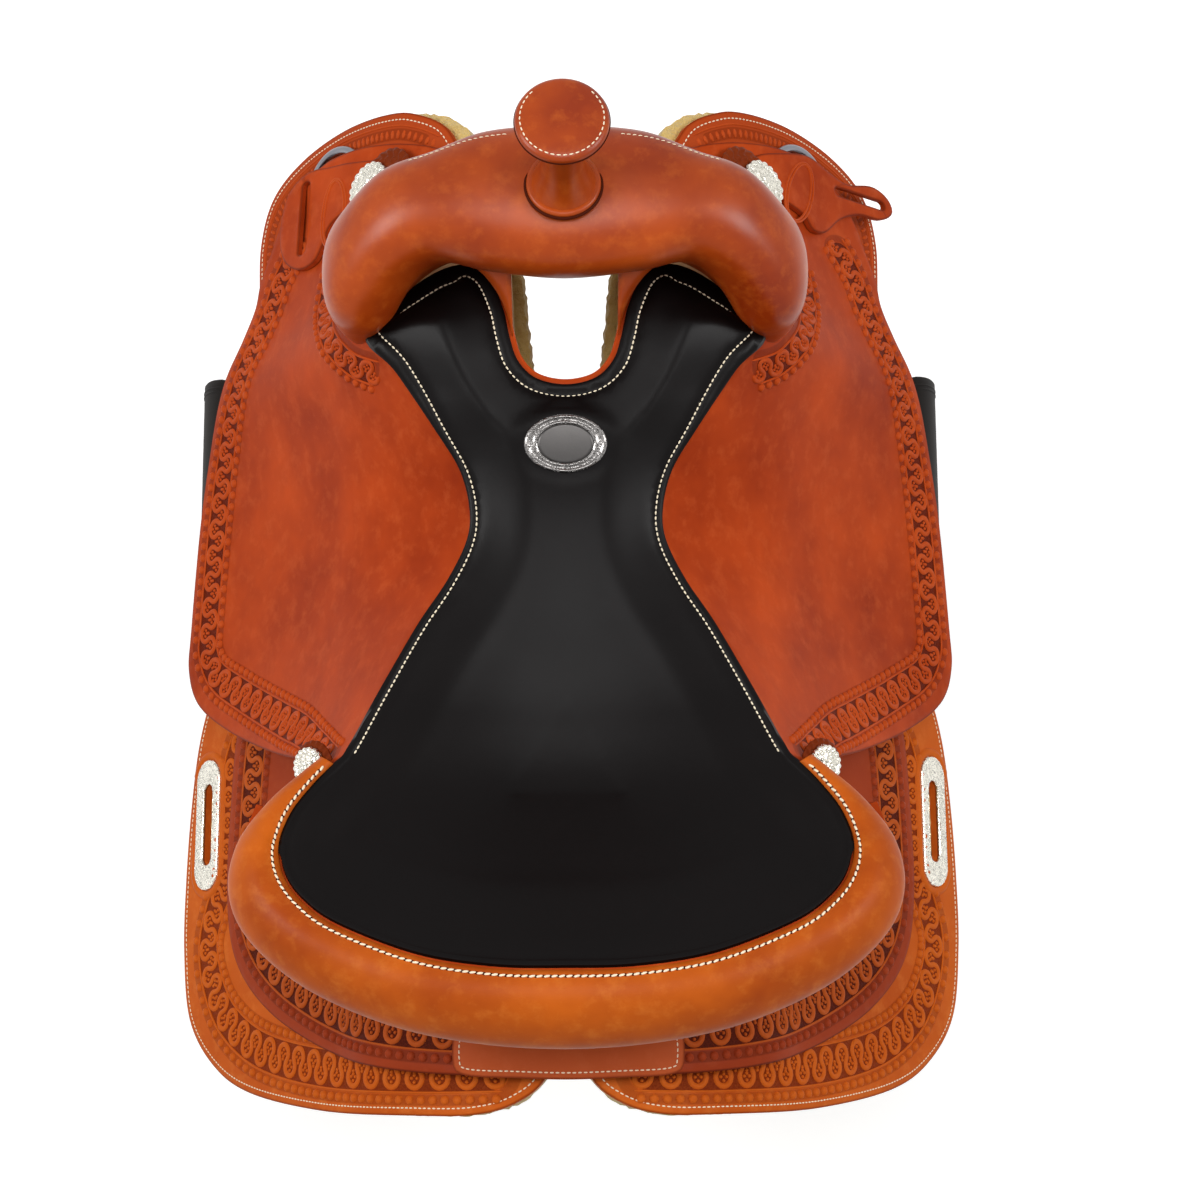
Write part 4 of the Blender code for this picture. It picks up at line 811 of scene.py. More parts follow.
def feed(tree, node, inputs):
    """Sets a node's inputs, each from a number, a hex colour, a socket or a node's first output."""
    for key, value in inputs.items():
        if isinstance(value, str):
            value = linear(value)
        if isinstance(value, bpy.types.Node):
            value = value.outputs[0]
        if isinstance(value, bpy.types.NodeSocket):
            tree.links.new(value, node.inputs[key])
        else:
            node.inputs[key].default_value = value


def add(tree, kind, inputs, **settings):
    """A node with its settings and links."""
    node = tree.nodes.new(kind)
    for key, value in settings.items():
        setattr(node, key, value)
    feed(tree, node, inputs)
    return node


def new_material(name):
    """A material, its node tree, its shader and the place on the object that patterns are laid by."""
    made = bpy.data.materials.new(name)
    made.use_nodes = True
    tree = made.node_tree
    where = add(tree, "ShaderNodeTexCoord", {}).outputs["Object"]
    return made, tree, tree.nodes["Principled BSDF"], where


def hide(tree, where, base, dark, light, roughness, mottle, grain):
    """What oiled leather shares: clouds of dark and light, worn flecks and a pored, creased grain."""
    cloud = add(tree, "ShaderNodeTexNoise",
                {"Vector": where, "Scale": 1 / (CLOUD_SIZE * MM), "Detail": 4, "Roughness": 0.6})
    fleck = add(tree, "ShaderNodeTexNoise",
                {"Vector": where, "Scale": 1 / (FLECK_SIZE * MM), "Detail": 4, "Roughness": 0.65})
    pores = add(tree, "ShaderNodeTexNoise",
                {"Vector": where, "Scale": 1 / (PORE_SIZE * MM), "Detail": 5, "Roughness": 0.7})
    creases = add(tree, "ShaderNodeTexNoise",
                  {"Vector": where, "Scale": 1 / (CREASE_SIZE * MM), "Detail": 3, "Roughness": 0.6})
    spread = 2.2 * mottle
    clouded = add(tree, "ShaderNodeMath", {0: cloud, 1: spread, 2: 0.5 - spread / 2},
                  operation="MULTIPLY_ADD")
    flecked = add(tree, "ShaderNodeMath", {0: fleck, 1: 1.1 * mottle, 2: -0.55 * mottle},
                  operation="MULTIPLY_ADD")
    colour = add(tree, "ShaderNodeMix", {0: clouded, 6: dark, 7: base}, data_type="RGBA").outputs[2]
    colour = add(tree, "ShaderNodeMix", {0: flecked, 6: colour, 7: light}, data_type="RGBA").outputs[2]
    folds = add(tree, "ShaderNodeMath", {0: creases, 1: 0.8 * grain}, operation="MULTIPLY")
    height = add(tree, "ShaderNodeMath", {0: pores, 1: grain, 2: folds}, operation="MULTIPLY_ADD")
    rough = add(tree, "ShaderNodeMath", {0: cloud, 1: 0.12, 2: roughness - 0.06}, operation="MULTIPLY_ADD")
    return colour, height, rough


def sunk_places(tree):
    """Where the stamping's ground is, the hollows by its bosses and leaves, and the cut edge, each as a
    share that is 0 away from it."""
    tooling = add(tree, "ShaderNodeAttribute", {}, attribute_name="tooling").outputs["Vector"]
    edge, stamped, marked = add(tree, "ShaderNodeSeparateXYZ", {"Vector": tooling}).outputs
    past_row = add(tree, "ShaderNodeMath", {0: stamped, 1: BOSS_AWAY}, operation="SUBTRACT")
    from_row = add(tree, "ShaderNodeMath", {0: past_row}, operation="ABSOLUTE")
    found = []
    for away, whole, gone, share in (
            (stamped, LINE_AWAY - 0.4, LINE_AWAY + 0.5, 1.0),
            (from_row, BOSS_RADIUS - 0.3, BOSS_RADIUS + 0.8, 0.45),
            (marked, *LEAF_GROUND, 0.5),
            (edge, 0.2, 1.8, 0.7)):
        found.append(add(tree, "ShaderNodeMapRange",
                         {"Value": away, "From Min": whole, "From Max": gone, "To Min": share, "To Max": 0.0},
                         interpolation_type="SMOOTHSTEP"))
    return found


def stamped_leather(name, base, dark, light, cut, mottle=0.5, front=None):
    """Oiled leather whose stamped ground is dark and stippled and whose cut edge is burnished. `cut` is the
    colour of both, and `front` a colour blended in towards the horn as painted shade."""
    made, tree, shader, where = new_material(name)
    colour, height, rough = hide(tree, where, base, dark, light, 0.45, mottle, 0.05)
    # Painted shade: towards the horn the colour is blended into the darker `front` colour
    if front:
        ahead = add(tree, "ShaderNodeSeparateXYZ", {"Vector": where}).outputs["Y"]
        share = add(tree, "ShaderNodeMapRange", {"Value": ahead, "From Min": 20 * MM, "From Max": 200 * MM},
                    interpolation_type="SMOOTHSTEP")
        colour = add(tree, "ShaderNodeMix", {0: share, 6: colour, 7: front}, data_type="RGBA").outputs[2]
    ground, by_bosses, by_leaves, edge = sunk_places(tree)
    stipple = add(tree, "ShaderNodeTexNoise",
                  {"Vector": where, "Scale": 1 / (STIPPLE_SIZE * MM), "Detail": 2, "Roughness": 0.5})
    low = add(tree, "ShaderNodeMath", {0: ground, 1: by_bosses}, operation="MAXIMUM")
    low = add(tree, "ShaderNodeMath", {0: low, 1: by_leaves}, operation="MAXIMUM")
    # Stained nearly through, in the dots that the stamping tool leaves
    dots = add(tree, "ShaderNodeMath", {0: stipple, 1: 0.5, 2: 0.6375}, operation="MULTIPLY_ADD")
    stained = add(tree, "ShaderNodeMath", {0: low, 1: dots}, operation="MULTIPLY")
    colour = add(tree, "ShaderNodeMix", {0: stained, 6: colour, 7: cut}, data_type="RGBA").outputs[2]
    colour = add(tree, "ShaderNodeMix", {0: edge, 6: colour, 7: cut}, data_type="RGBA").outputs[2]
    depth = add(tree, "ShaderNodeMath", {0: stipple, 1: 0.5, 2: 0.3}, operation="MULTIPLY_ADD")
    sunk = add(tree, "ShaderNodeMath", {0: ground, 1: depth}, operation="MULTIPLY")
    height = add(tree, "ShaderNodeMath", {0: height, 1: sunk}, operation="SUBTRACT")
    height = add(tree, "ShaderNodeMath", {0: by_leaves, 1: -0.6, 2: height}, operation="MULTIPLY_ADD")
    relief = add(tree, "ShaderNodeBump", {"Height": height, "Strength": 1.0, "Distance": 1.0 * MM})
    feed(tree, shader, {"Base Color": colour, "Roughness": rough, "Specular IOR Level": 0.03,
                        "Normal": relief})
    return made


def oiled_leather(name, base, dark, light, roughness=0.42, mottle=0.5, grain=0.05, shine=0.03):
    """Leather without stamping."""
    made, tree, shader, where = new_material(name)
    colour, height, rough = hide(tree, where, base, dark, light, roughness, mottle, grain)
    relief = add(tree, "ShaderNodeBump", {"Height": height, "Strength": 1.0, "Distance": 1.0 * MM})
    feed(tree, shader, {"Base Color": colour, "Roughness": rough, "Specular IOR Level": shine,
                        "Normal": relief})
    return made


def worked(name, colour, roughness, metallic=0.0):
    """Wood, thread or metal of one colour, with broad worn patches and fine scratches from its working."""
    made, tree, shader, where = new_material(name)
    patches = add(tree, "ShaderNodeTexNoise",
                  {"Vector": where, "Scale": 1 / (BRUSH_SIZE * MM), "Detail": 3, "Roughness": 0.6})
    rough = add(tree, "ShaderNodeMath", {0: patches, 1: 0.1, 2: roughness - 0.05}, operation="MULTIPLY_ADD")
    scratches = add(tree, "ShaderNodeTexNoise",
                    {"Vector": where, "Scale": 1 / (SCRATCH_SIZE * MM), "Detail": 3, "Roughness": 0.6})
    relief = add(tree, "ShaderNodeBump", {"Height": scratches, "Strength": 1.0, "Distance": 0.03 * MM})
    feed(tree, shader, {"Base Color": colour, "Metallic": metallic, "Roughness": rough, "Normal": relief})
    return made


def engraved_plate(name, bright, shade):
    """Plate engraved with fine curls, darkened in its cuts."""
    made, tree, shader, where = new_material(name)
    curls = add(tree, "ShaderNodeTexVoronoi", {"Vector": where, "Scale": 1 / (ENGRAVED_CURL_SIZE * MM)},
                feature="SMOOTH_F1")
    wander = add(tree, "ShaderNodeTexNoise",
                 {"Vector": where, "Scale": 1 / (ENGRAVED_WANDER_SIZE * MM), "Detail": 2, "Roughness": 0.5})
    turns = add(tree, "ShaderNodeMath", {0: wander, 1: 0.6}, operation="MULTIPLY")
    turns = add(tree, "ShaderNodeMath", {0: curls, 1: 3.2, 2: turns}, operation="MULTIPLY_ADD")
    turns = add(tree, "ShaderNodeMath", {0: turns}, operation="FRACT")
    off_middle = add(tree, "ShaderNodeMath", {0: turns, 1: 0.5}, operation="SUBTRACT")
    off_middle = add(tree, "ShaderNodeMath", {0: off_middle}, operation="ABSOLUTE")
    cut = add(tree, "ShaderNodeMapRange", {"Value": off_middle, "From Min": 0.3, "From Max": 0.48},
              interpolation_type="SMOOTHSTEP")
    darkened = add(tree, "ShaderNodeMath", {0: cut, 1: 0.55}, operation="MULTIPLY")
    colour = add(tree, "ShaderNodeMix", {0: darkened, 6: bright, 7: shade}, data_type="RGBA").outputs[2]
    rough = add(tree, "ShaderNodeMath", {0: cut, 1: 0.2, 2: 0.22}, operation="MULTIPLY_ADD")
    sunk = add(tree, "ShaderNodeMath", {0: cut, 1: -1.0}, operation="MULTIPLY")
    relief = add(tree, "ShaderNodeBump", {"Height": sunk, "Strength": 1.0, "Distance": 0.25 * MM})
    feed(tree, shader, {"Base Color": colour, "Metallic": 1.0, "Roughness": rough, "Normal": relief})
    return made


def shorn_wool(name, deep, tips):
    """Fleece pile: tufts, lighter at their tips, with strands in them drawn coarse enough to show."""
    made, tree, shader, where = new_material(name)
    tufts = add(tree, "ShaderNodeTexNoise",
                {"Vector": where, "Scale": 1 / (TUFT_SIZE * MM), "Detail": 4, "Roughness": 0.7})
    strands = add(tree, "ShaderNodeTexNoise",
                  {"Vector": where, "Scale": 1 / (STRAND_SIZE * MM), "Detail": 4, "Roughness": 0.7})
    colour = add(tree, "ShaderNodeMix", {0: tufts, 6: deep, 7: tips}, data_type="RGBA").outputs[2]
    fine = add(tree, "ShaderNodeMath", {0: strands, 1: 0.5}, operation="MULTIPLY")
    height = add(tree, "ShaderNodeMath", {0: tufts, 1: 1.6, 2: fine}, operation="MULTIPLY_ADD")
    relief = add(tree, "ShaderNodeBump", {"Height": height, "Strength": 1.0, "Distance": 2.0 * MM})
    feed(tree, shader, {"Base Color": colour, "Roughness": 0.95, "Sheen Weight": 0.4,
                        "Sheen Roughness": 0.5, "Normal": relief})
    return made


# Vegetable-tanned cowhide. Oil makes it a deep warm red-brown, cloudy and nearly without shine. The pores
# of its grain are drawn about three times as coarse as real ones, so that they show.
russet = stamped_leather("russet leather, oiled, stamped", "#B84618", "#8A2C0E", "#CC6030", "#501404", 1.05)
russet_plain = oiled_leather("russet leather, oiled", "#B44416", "#8A2C0E", "#CC6030", mottle=1.0)
# The tops of the stamping, which burnishing leaves lighter than the ground round them
russet_raised = oiled_leather("russet leather, burnished stamping", "#C25222", "#A03810", "#DC7240")
# Formed wet over the fork and dried hard, so smoother, with a soft broad shine
swell_leather = oiled_leather("russet leather, wet formed over the fork", "#B0480C", "#842A04", "#C86420",
                              0.32, 1.25, 0.04, 0.25)
# The skirts' lighter hide, tan behind, with painted shade towards the horn that makes them darker and redder
# there
tan = stamped_leather("tan leather, oiled, stamped", "#CA6220", "#AE4A14", "#E08840", "#6E2408", 0.9,
                      front="#A8421A")
# The roll's, worn to a slight shine
tan_plain = oiled_leather("tan leather, oiled", "#C05C14", "#963C0C", "#D0782E", mottle=1.2, shine=0.1)
tan_raised = oiled_leather("tan leather, burnished stamping", "#CC6420", "#B24E14", "#E08440")
# The rear jockeys' darker red hide, even in colour, and the sewn plate's between them, made paler as painted
# light against the roll's shadow on it
dark = stamped_leather("dark red leather, stamped", "#A24222", "#842E16", "#B85A32", "#3E1006")
dark_plain = oiled_leather("dark red leather, oiled", "#A24222", "#842E16", "#B85A32")
dark_raised = oiled_leather("dark red leather, burnished stamping", "#BC5A26", "#9C4014", "#D87A42")
# Painted light: the plate's paler colour makes up for the shadow that the roll casts on it
plate_leather = stamped_leather("red leather, oiled, sewn", "#BE5A32", "#A24822", "#D07448", "#5E1A08")
# Cut edges rubbed until they are dark and close, also used as painted shade in the stitch holes and the
# collar's groove, and the braid round the conchos, dark in its crossings
dark_edge_and_shade = oiled_leather("leather edge burnished dark, and painted hole shade", "#4A1A0C", "#3A1208", "#5E2814")
edge_rosette = oiled_leather("braided leather, dark", "#823414", "#5A200C", "#A04C24")
# Dyed through and rolled smooth: a near black with a faint even shine
black = oiled_leather("black seat leather, smooth", "#0B0707", "#070505", "#130D0D", 0.36, 0.4, shine=0.09)
# The same dye on matt strap leather, worn a little brown
black_strap = oiled_leather("black leather, stirrup cover", "#17120F", "#100C0A", "#221C18", 0.5)
# Shorn sheepskin, golden, matt and soft at its outline
fleece = shorn_wool("wool fleece, golden", "#B98E34", "#E8CD80")
# Planed softwood, pale and matt
wood = worked("wood, planed", "#C9A878", 0.7)
# Steel with a brushed, clear shine
steel = worked("steel, brushed", "#8A8A90", 0.3, 1.0)
# Silver plate: bright with grey cuts, tarnished nearly black in its cuts, and polished dark
silver = engraved_plate("silver plate, engraved", "#E8E4D8", "#6E6A60")
plate_rim = engraved_plate("silver plate, tarnished", "#8A8785", "#1E1C1B")
plate_dark = worked("silver plate, polished dark", "#4A4847", 0.34, 1.0)
# Waxed linen thread, cream and matt
thread = worked("waxed cream thread", "#EBDDC0", 0.7)


stitches = Work("stitching", thread, "fleece")
# Dark domes on the roll's stitch holes: partly the dark cut leather inside them, partly painted shade of the
# holes
holes = Work("stitch_hole_shade", dark_edge_and_shade, "dark_leather")
russet_work = Work("stamping_russet", russet_raised, "russet_leather")
tan_work = Work("stamping_tan", tan_raised, "tan_leather")
dark_work = Work("stamping_dark", dark_raised, "dark_leather")
dark_bosses = Work("stamping_dark_bosses", dark_plain, "dark_leather")


# Skirts, lining and rear leathers

def fleece_pattern():
    """The skirt's pattern, with its front inner corner further in, where the fleece shows past it."""
    corner = [(s - FLEECE_SHOWS, y) for s, y in SKIRT_PATTERN[:FLEECE_FRONT_INNER]]
    return corner + list(SKIRT_PATTERN[FLEECE_FRONT_INNER:])


def slot_ring(middle, half_across, half_along, turn=0.0, corners=14, grow=0.0):
    """The outline of a slot with round ends."""
    radius = min(half_across, half_along) + grow
    long = max(half_across, half_along) + grow - radius
    points = []
    for end in (1, -1):
        for k in range(corners + 1):
            a = math.pi * k / corners - math.pi / 2
            points.append((end * (long + radius * math.cos(a)), end * radius * math.sin(a)))
    spin = math.radians(turn) + (math.pi / 2 if half_along > half_across else 0.0)
    c, s = math.cos(spin), math.sin(spin)
    return np.array([(middle[0] + c * p - s * q, middle[1] + s * p + c * q) for p, q in points])


def closed_line(outline, distance, steps=8):
    """A closed line inside an outline."""
    line = inset(anticlockwise(evenly(smooth(outline, steps), 3.0)), distance)
    return np.vstack([line, line[:1]])


def pile(obj, height, seed):
    """Lifts each point of a fleece by a little, as its tufts do."""
    draw = np.random.default_rng(seed)
    count = len(obj.data.vertices)
    places = np.empty(count * 3)
    obj.data.vertices.foreach_get("co", places)
    normals = np.empty(count * 3)
    obj.data.vertex_normals.foreach_get("vector", normals)
    lift = draw.uniform(-1, 1, count) * height * MM
    obj.data.vertices.foreach_set("co", places + normals * np.repeat(lift, 3))
    obj.data.update()


def rear_jockey_top(u, v):
    """Lift of the rear jockey's upper side."""
    return over_bar(u, v) + REAR_JOCKEY_THICK


def make_skirts():
    """The fleece, the skirts with their slot plates, the rear jockeys and the plate sewn between them."""
    slot = slot_ring(BILLET_PLATE_PLACE, *BILLET_SLOT_HALF)
    plate_outline = slot_ring(BILLET_PLATE_PLACE, *BILLET_PLATE_HALF)
    plate_lift = SKIRT_TOP + LAYER_GAP
    skirt_band = Band(drape, SKIRT_BAND, SKIRT_TOP)
    leaf_band = Band(drape, SKIRT_LEAVES, SKIRT_TOP)
    rear_band = Band(drape, REAR_JOCKEY_BAND, rear_jockey_top)
    around = slot_ring(BILLET_PLATE_PLACE, *BILLET_PLATE_HALF, grow=BILLET_RIM_HALF)
    around = np.vstack([around, around[:1]])
    for label, side in SIDES:
        obj = panel(f"fleece_{label}", fleece_pattern(), drape, 0.0, FLEECE_THICK, fleece, "saddle", side,
                    pitch=5.0, edge=3.0)
        pile(obj, FLEECE_TUFTS, 11)
        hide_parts(f"fleece_lining_{label}")
        obj = panel(f"tooled_skirt_{label}", SKIRT_PATTERN, drape, SKIRT_LOW, SKIRT_TOP, tan, "saddle", side,
                    holes=[slot], bands=[skirt_band], leaves=[leaf_band])
        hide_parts(f"skirt_{label}")
        skirt_band.stamp(tan_work, tan_work, side)
        leaf_band.marks(russet_work, side)
        leaf_band.lengthways(russet_work, LEAF_LINE_AWAY, LEAF_LINE_HALF, RELIEF * 0.7, side)
        stitches.sew(*on_surface(drape, closed_line(SKIRT_PATTERN, SKIRT_STITCH_INSET), SKIRT_TOP, side))
        tan_work.rib(*on_surface(drape, around, SKIRT_TOP, side), BILLET_RIM_HALF, BILLET_RIM_HEIGHT)
        obj = panel(f"engraved_slot_plate_{label}", plate_outline, drape, plate_lift,
                    lambda u, v, d: plate_lift + plate_relief(v, d), silver, "saddle", side,
                    pitch=1.3, edge=0.6, holes=[slot], steps=2, spacing=1.2)
        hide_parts(f"billet_slot_plate_{label}")
        obj = panel(f"tooled_rear_jockey_{label}", REAR_JOCKEY_PATTERN, drape,
                    lambda u, v, d: over_bar(u, v), lambda u, v, d: rear_jockey_top(u, v),
                    dark, "saddle", side, bands=[rear_band])
        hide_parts(f"rear_jockey_{label}")
        rear_band.stamp(dark_work, dark_bosses, side)
    low = REAR_JOCKEY_THICK + LAYER_GAP
    top = low + REAR_PLATE_THICK
    obj = panel("sewn_rear_plate", REAR_PLATE_PATTERN, drape, lambda u, v, d: over_bar(u, v) + low,
                lambda u, v, d: over_bar(u, v) + top, plate_leather, "saddle", pitch=4.0)
    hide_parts("rear_plate")
    line = closed_line(REAR_PLATE_PATTERN, REAR_PLATE_STITCH_INSET)
    stitches.sew(*on_surface(drape, line, over_bar(*line.T) + top))


def plate_relief(v, d):
    """The slot plate's rim of beads and its field of curling leaves."""
    rim = np.exp(-(((d - 0.9) / 0.7) ** 2)) * (0.35 + 0.25 * np.cos(v * 2 * math.pi / 2.6))
    field = ease((d - 1.6) / 0.8) * (0.35 * np.sin(v * 2 * math.pi / 6.5 + 1.4 * np.sin(d * 1.3)))
    return 1.55 + rim + field


# The seat

def seat_outline():
    """The whole seat's outline, from the pieces of its right half."""
    right = list(SEAT_FRONT[:-1]) + list(SEAT_SIDE) + list(SEAT_REAR)
    return [(-x, y) for x, y in reversed(right[1:-1])] + right


def seam_inset(x, y):
    """How far the seat's seam lies inside its edge: 3.4 mm, with 4.4 more towards the horn and another 4.8 at
    the two front corners, where the swell covers the edge."""
    return 3.4 + 4.4 * ease((y - 60) / 60) + 4.8 * ease((np.abs(x) - 55) / 16) * ease((y - 138) / 16)


def under_plate(x, y):
    """How far out a place is from the nameplate's middle, 1 at its rim."""
    return np.hypot(x / NAMEPLATE_HALF[0], (y - NAMEPLATE_Y) / NAMEPLATE_HALF[1])


def pad_lift(x, y, away):
    """Height of the padding: steep from the seam, then a low crown, and pressed in under the nameplate."""
    from_seam = away - seam_inset(x, y)
    inner = np.maximum(from_seam, 0)
    crown = PAD_CROWN * ease(inner / PAD_CROWN_RUN)
    side = PAD_SIDE * (1 - np.exp(-inner / PAD_SIDE_RUN))
    groove = SEAM_GROOVE * np.exp(-((from_seam / SEAM_GROOVE_HALF) ** 2)) * (y > SEAM_HIDDEN_Y)
    lift = PAD_EDGE_TOP + crown + side - groove
    pressed = ease((1.45 - under_plate(x, y)) / 0.45)
    return lift * (1 - pressed) + (NAMEPLATE_LIFT - 0.4) * pressed


def puff(obj, held, cap):
    """Swells a cushion as its foam does: cloth under pressure, with its held points kept. No point moves
    by more than `cap`, and the moves are evened out between neighbours, as foam spreads them."""
    scene = bpy.context.scene
    group = obj.vertex_groups.new(name="held")
    group.add([int(i) for i in np.flatnonzero(held)], 1.0, "REPLACE")
    cloth = obj.modifiers.new("foam", "CLOTH")
    cloth.settings.vertex_group_mass = "held"
    cloth.settings.shrink_min = 0.02
    cloth.settings.bending_stiffness = 8.0
    cloth.settings.use_pressure = True
    cloth.settings.uniform_pressure_force = FOAM_PRESSURE
    cloth.settings.effector_weights.gravity = 0
    for number in range(1, FOAM_FRAMES + 1):
        scene.frame_set(number)
    swollen = obj.evaluated_get(bpy.context.evaluated_depsgraph_get()).data
    before = np.empty(len(obj.data.vertices) * 3)
    after = np.empty_like(before)
    obj.data.vertices.foreach_get("co", before)
    swollen.vertices.foreach_get("co", after)
    move = (after - before).reshape(-1, 3)
    far = np.linalg.norm(move, axis=1)
    move *= (np.minimum(far, cap * MM) / np.maximum(far, 1e-9))[:, None]
    ends = np.empty(len(obj.data.edges) * 2, int)
    obj.data.edges.foreach_get("vertices", ends)
    one, two = ends.reshape(-1, 2).T
    joined = np.bincount(np.concatenate([one, two]), minlength=len(move))[:, None]
    for _ in range(FOAM_SPREAD):
        total = np.zeros_like(move)
        np.add.at(total, one, move[two])
        np.add.at(total, two, move[one])
        move = np.where(held[:, None], 0.0, (move + total) / (joined + 1))
    obj.modifiers.remove(cloth)
    obj.vertex_groups.remove(group)
    obj.data.vertices.foreach_set("co", before + move.ravel())
    obj.data.update()
    scene.frame_set(1)


def make_seat():
    """The padded seat with its seam, the leather that shows under its edge, and the side jockeys."""
    outline = anticlockwise(evenly(smooth(seat_outline(), 10), 3.0))
    guides = [inset(outline, seam_inset(*outline.T) + step) for step in (0.0, -1.5, 1.6)]
    obj = panel("padded_seat", seat_outline(), bed, 0.4, pad_lift, black, "saddle", pitch=3.6, edge=1.4,
                steps=10, guides=guides)
    away = np.empty(len(obj.data.vertices) * 3, np.float32)
    obj.data.attributes["tooling"].data.foreach_get("vector", away)
    away = away.reshape(-1, 3)[:, 0]
    x, y, _ = np.array([v.co[:] for v in obj.data.vertices]).T / MM
    underside = away >= FAR - 1
    held = (away < seam_inset(x, y) + 1.2) | underside | (under_plate(x, y) < 1.15)
    puff(obj, held, PAD_SWELL)
    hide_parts("seat_pad")
    fine = anticlockwise(evenly(smooth(seat_outline(), 10), 2.0))
    line = inset(fine, seam_inset(*fine.T))
    shown = line[:, 1] > SEAM_HIDDEN_Y
    start = int(np.argmax(~shown & np.roll(shown, -1))) + 1
    line = np.roll(line, -start, axis=0)
    line = line[line[:, 1] > SEAM_HIDDEN_Y]
    stitches.sew(*on_surface(bed, line, PAD_EDGE_TOP - 0.5), SEAM_STITCH, 0.74, 0.55)
    base = anticlockwise(smooth(seat_outline(), 4))
    in_front = (np.abs(base[:, 0]) < SEAT_FRONT_HALF) & (base[:, 1] > SEAT_FRONT_Y)
    shown = SEAT_BASE_SHOWS * np.where(in_front, 2, 1)
    obj = panel("seat_base", inset(base, -shown), bed, -JOCKEY_THICK, 0.2, russet_plain, "saddle",
                pitch=6.0, steps=3)
    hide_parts("seat_leather")
    edge_band = Band(bed, SIDE_JOCKEY_BAND, 0.0)
    foot_band = Band(bed, SWELL_FOOT_BAND, 0.0, SWELL_FOOT_SCALE)
    for label, side in SIDES:
        obj = panel(f"tooled_side_jockey_{label}", SIDE_JOCKEY_PLAN, bed, -JOCKEY_THICK, 0.0, russet,
                    "saddle", side, pitch=3.6, bands=[edge_band, foot_band])
        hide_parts(f"side_jockey_{label}")
        edge_band.stamp(russet_work, russet_work, side)
        foot_band.stamp(russet_work, russet_work, side, rows=(1,))


def make_nameplate():
    """The oval plate, with two raised rings round a dark polished middle."""
    place = bed(0.0, NAMEPLATE_Y, NAMEPLATE_LIFT)
    axis = bed(0.0, NAMEPLATE_Y, NAMEPLATE_LIFT + 1.0) - place

    def relief(share, angle):
        """Height at a share of the way out and an angle: two rings with beads between them."""
        rings = 1.1 * np.exp(-(((share - 0.93) / 0.05) ** 2)) + 0.9 * np.exp(-(((share - 0.74) / 0.045) ** 2))
        beads = 0.35 * np.cos(angle * 60) * np.exp(-(((share - 0.835) / 0.035) ** 2))
        return 0.9 + rings + beads + 0.3 * ease((0.66 - share) / 0.66)

    obj = medal("oval_nameplate", place, axis, 1.0, lambda a: 1.0, relief, plate_rim,
                stretch=NAMEPLATE_HALF, steps=46)
    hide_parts("nameplate")
    obj = medal("nameplate_middle", place + axis * 0.95, axis, 1.0, lambda a: 1.0,
                lambda share, angle: 0.3 + 0.35 * (1 - share**2), plate_dark,
                stretch=[half * NAMEPLATE_MIDDLE for half in NAMEPLATE_HALF], steps=10)


def rear_arc(points):
    """A line round the back of the seat, from the points of its right half."""
    right = list(points)
    return [(-x, y) for x, y in right[:-1]] + right[::-1]


def make_roll():
    """The roll swept round the back of the seat, and the row of slanted stitches along its inner edge."""
    edge = smooth(rear_arc(SEAT_SIDE[-1:] + SEAT_REAR), 8, closed=False)
    inner = inset(edge, -ROLL_GAP, closed=False)
    outer = smooth(rear_arc(ROLL_OUTER), 8, closed=False)
    section = smooth(ROLL_SECTION, 6)
    upper = section[:int(np.argmax(section[:, 0]))]
    rings, line, outward = [], [], []
    for base, near, far in zip(edge, inner, outer):
        width = np.linalg.norm(far - near)
        drop = ROLL_DROP * min(width / ROLL_DROP_WIDTH, 1.0)
        fat = ROLL_FAT * min(width / ROLL_FAT_WIDTH, 1.0)
        level = bed_height(*base) + 1.0

        def at(share, height):
            """The point at a share outwards and a height of the section."""
            flat = near + (far - near) * share
            return np.append(flat, level + height * fat - drop * share**2)

        rings.append([at(a, b) for a, b in section])
        share = ROLL_SEAM / width
        line.append(at(share, np.interp(share, upper[:, 0], upper[:, 1])))
        further = share + 0.04
        outward.append(at(further, np.interp(further, upper[:, 0], upper[:, 1])) - line[-1])
    obj = skin("cheyenne_roll_leather", rings, tan_plain, "saddle", caps=True)
    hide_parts("cheyenne_roll")
    line = np.array(line)[3:-3]
    up = unit(np.cross(np.gradient(line, axis=0), np.array(outward)[3:-3]))
    up *= np.sign(up[:, 2:])
    stitches.sew(line, up, ROLL_STITCH, 0.92, 0.75, 0.22, 0.2)
    # Dark domes between the stitches: painted shade of the stitch holes
    run = run_along(line)
    count = int(run[-1] / ROLL_STITCH)
    between = run[-1] * np.arange(1, count) / count
    holes.bosses(at_run(line, run, between), at_run(up, run, between), ROLL_HOLE_RADIUS, 0.25)


# Fork and horn

def fork_skin(grow, foot):
    """Rings of points round the arch, grown all round and ended above a foot height."""
    right = [[*spine, *depth, thick] for spine, depth, thick in FORK_ARCH]
    left = [[-x, z, y, a, b] for x, z, y, a, b in reversed(right[1:])]
    stations = smooth(left + right, 10, closed=False)
    angle = np.linspace(0, 2 * math.pi, FORK_CORNERS, endpoint=False)
    c, s = np.cos(angle), np.sin(angle)
    rings = []
    for i, (x, z, y, a, b) in enumerate(stations):
        before, after = stations[max(i - 1, 0)], stations[min(i + 1, len(stations) - 1)]
        run = np.array((after[0] - before[0], after[1] - before[1]))
        run /= np.linalg.norm(run)
        deep = np.sign(c) * np.abs(c) ** (2 / FORK_FULLNESS) * (a + grow)
        high = np.sign(s) * np.abs(s) ** (2 / FORK_FULLNESS) * (b + grow)
        ring = np.stack([x - run[1] * high, y + deep, z + run[0] * high], axis=1)
        if ring[:, 2].mean() > foot:
            rings.append(ring)
    return np.array(rings)


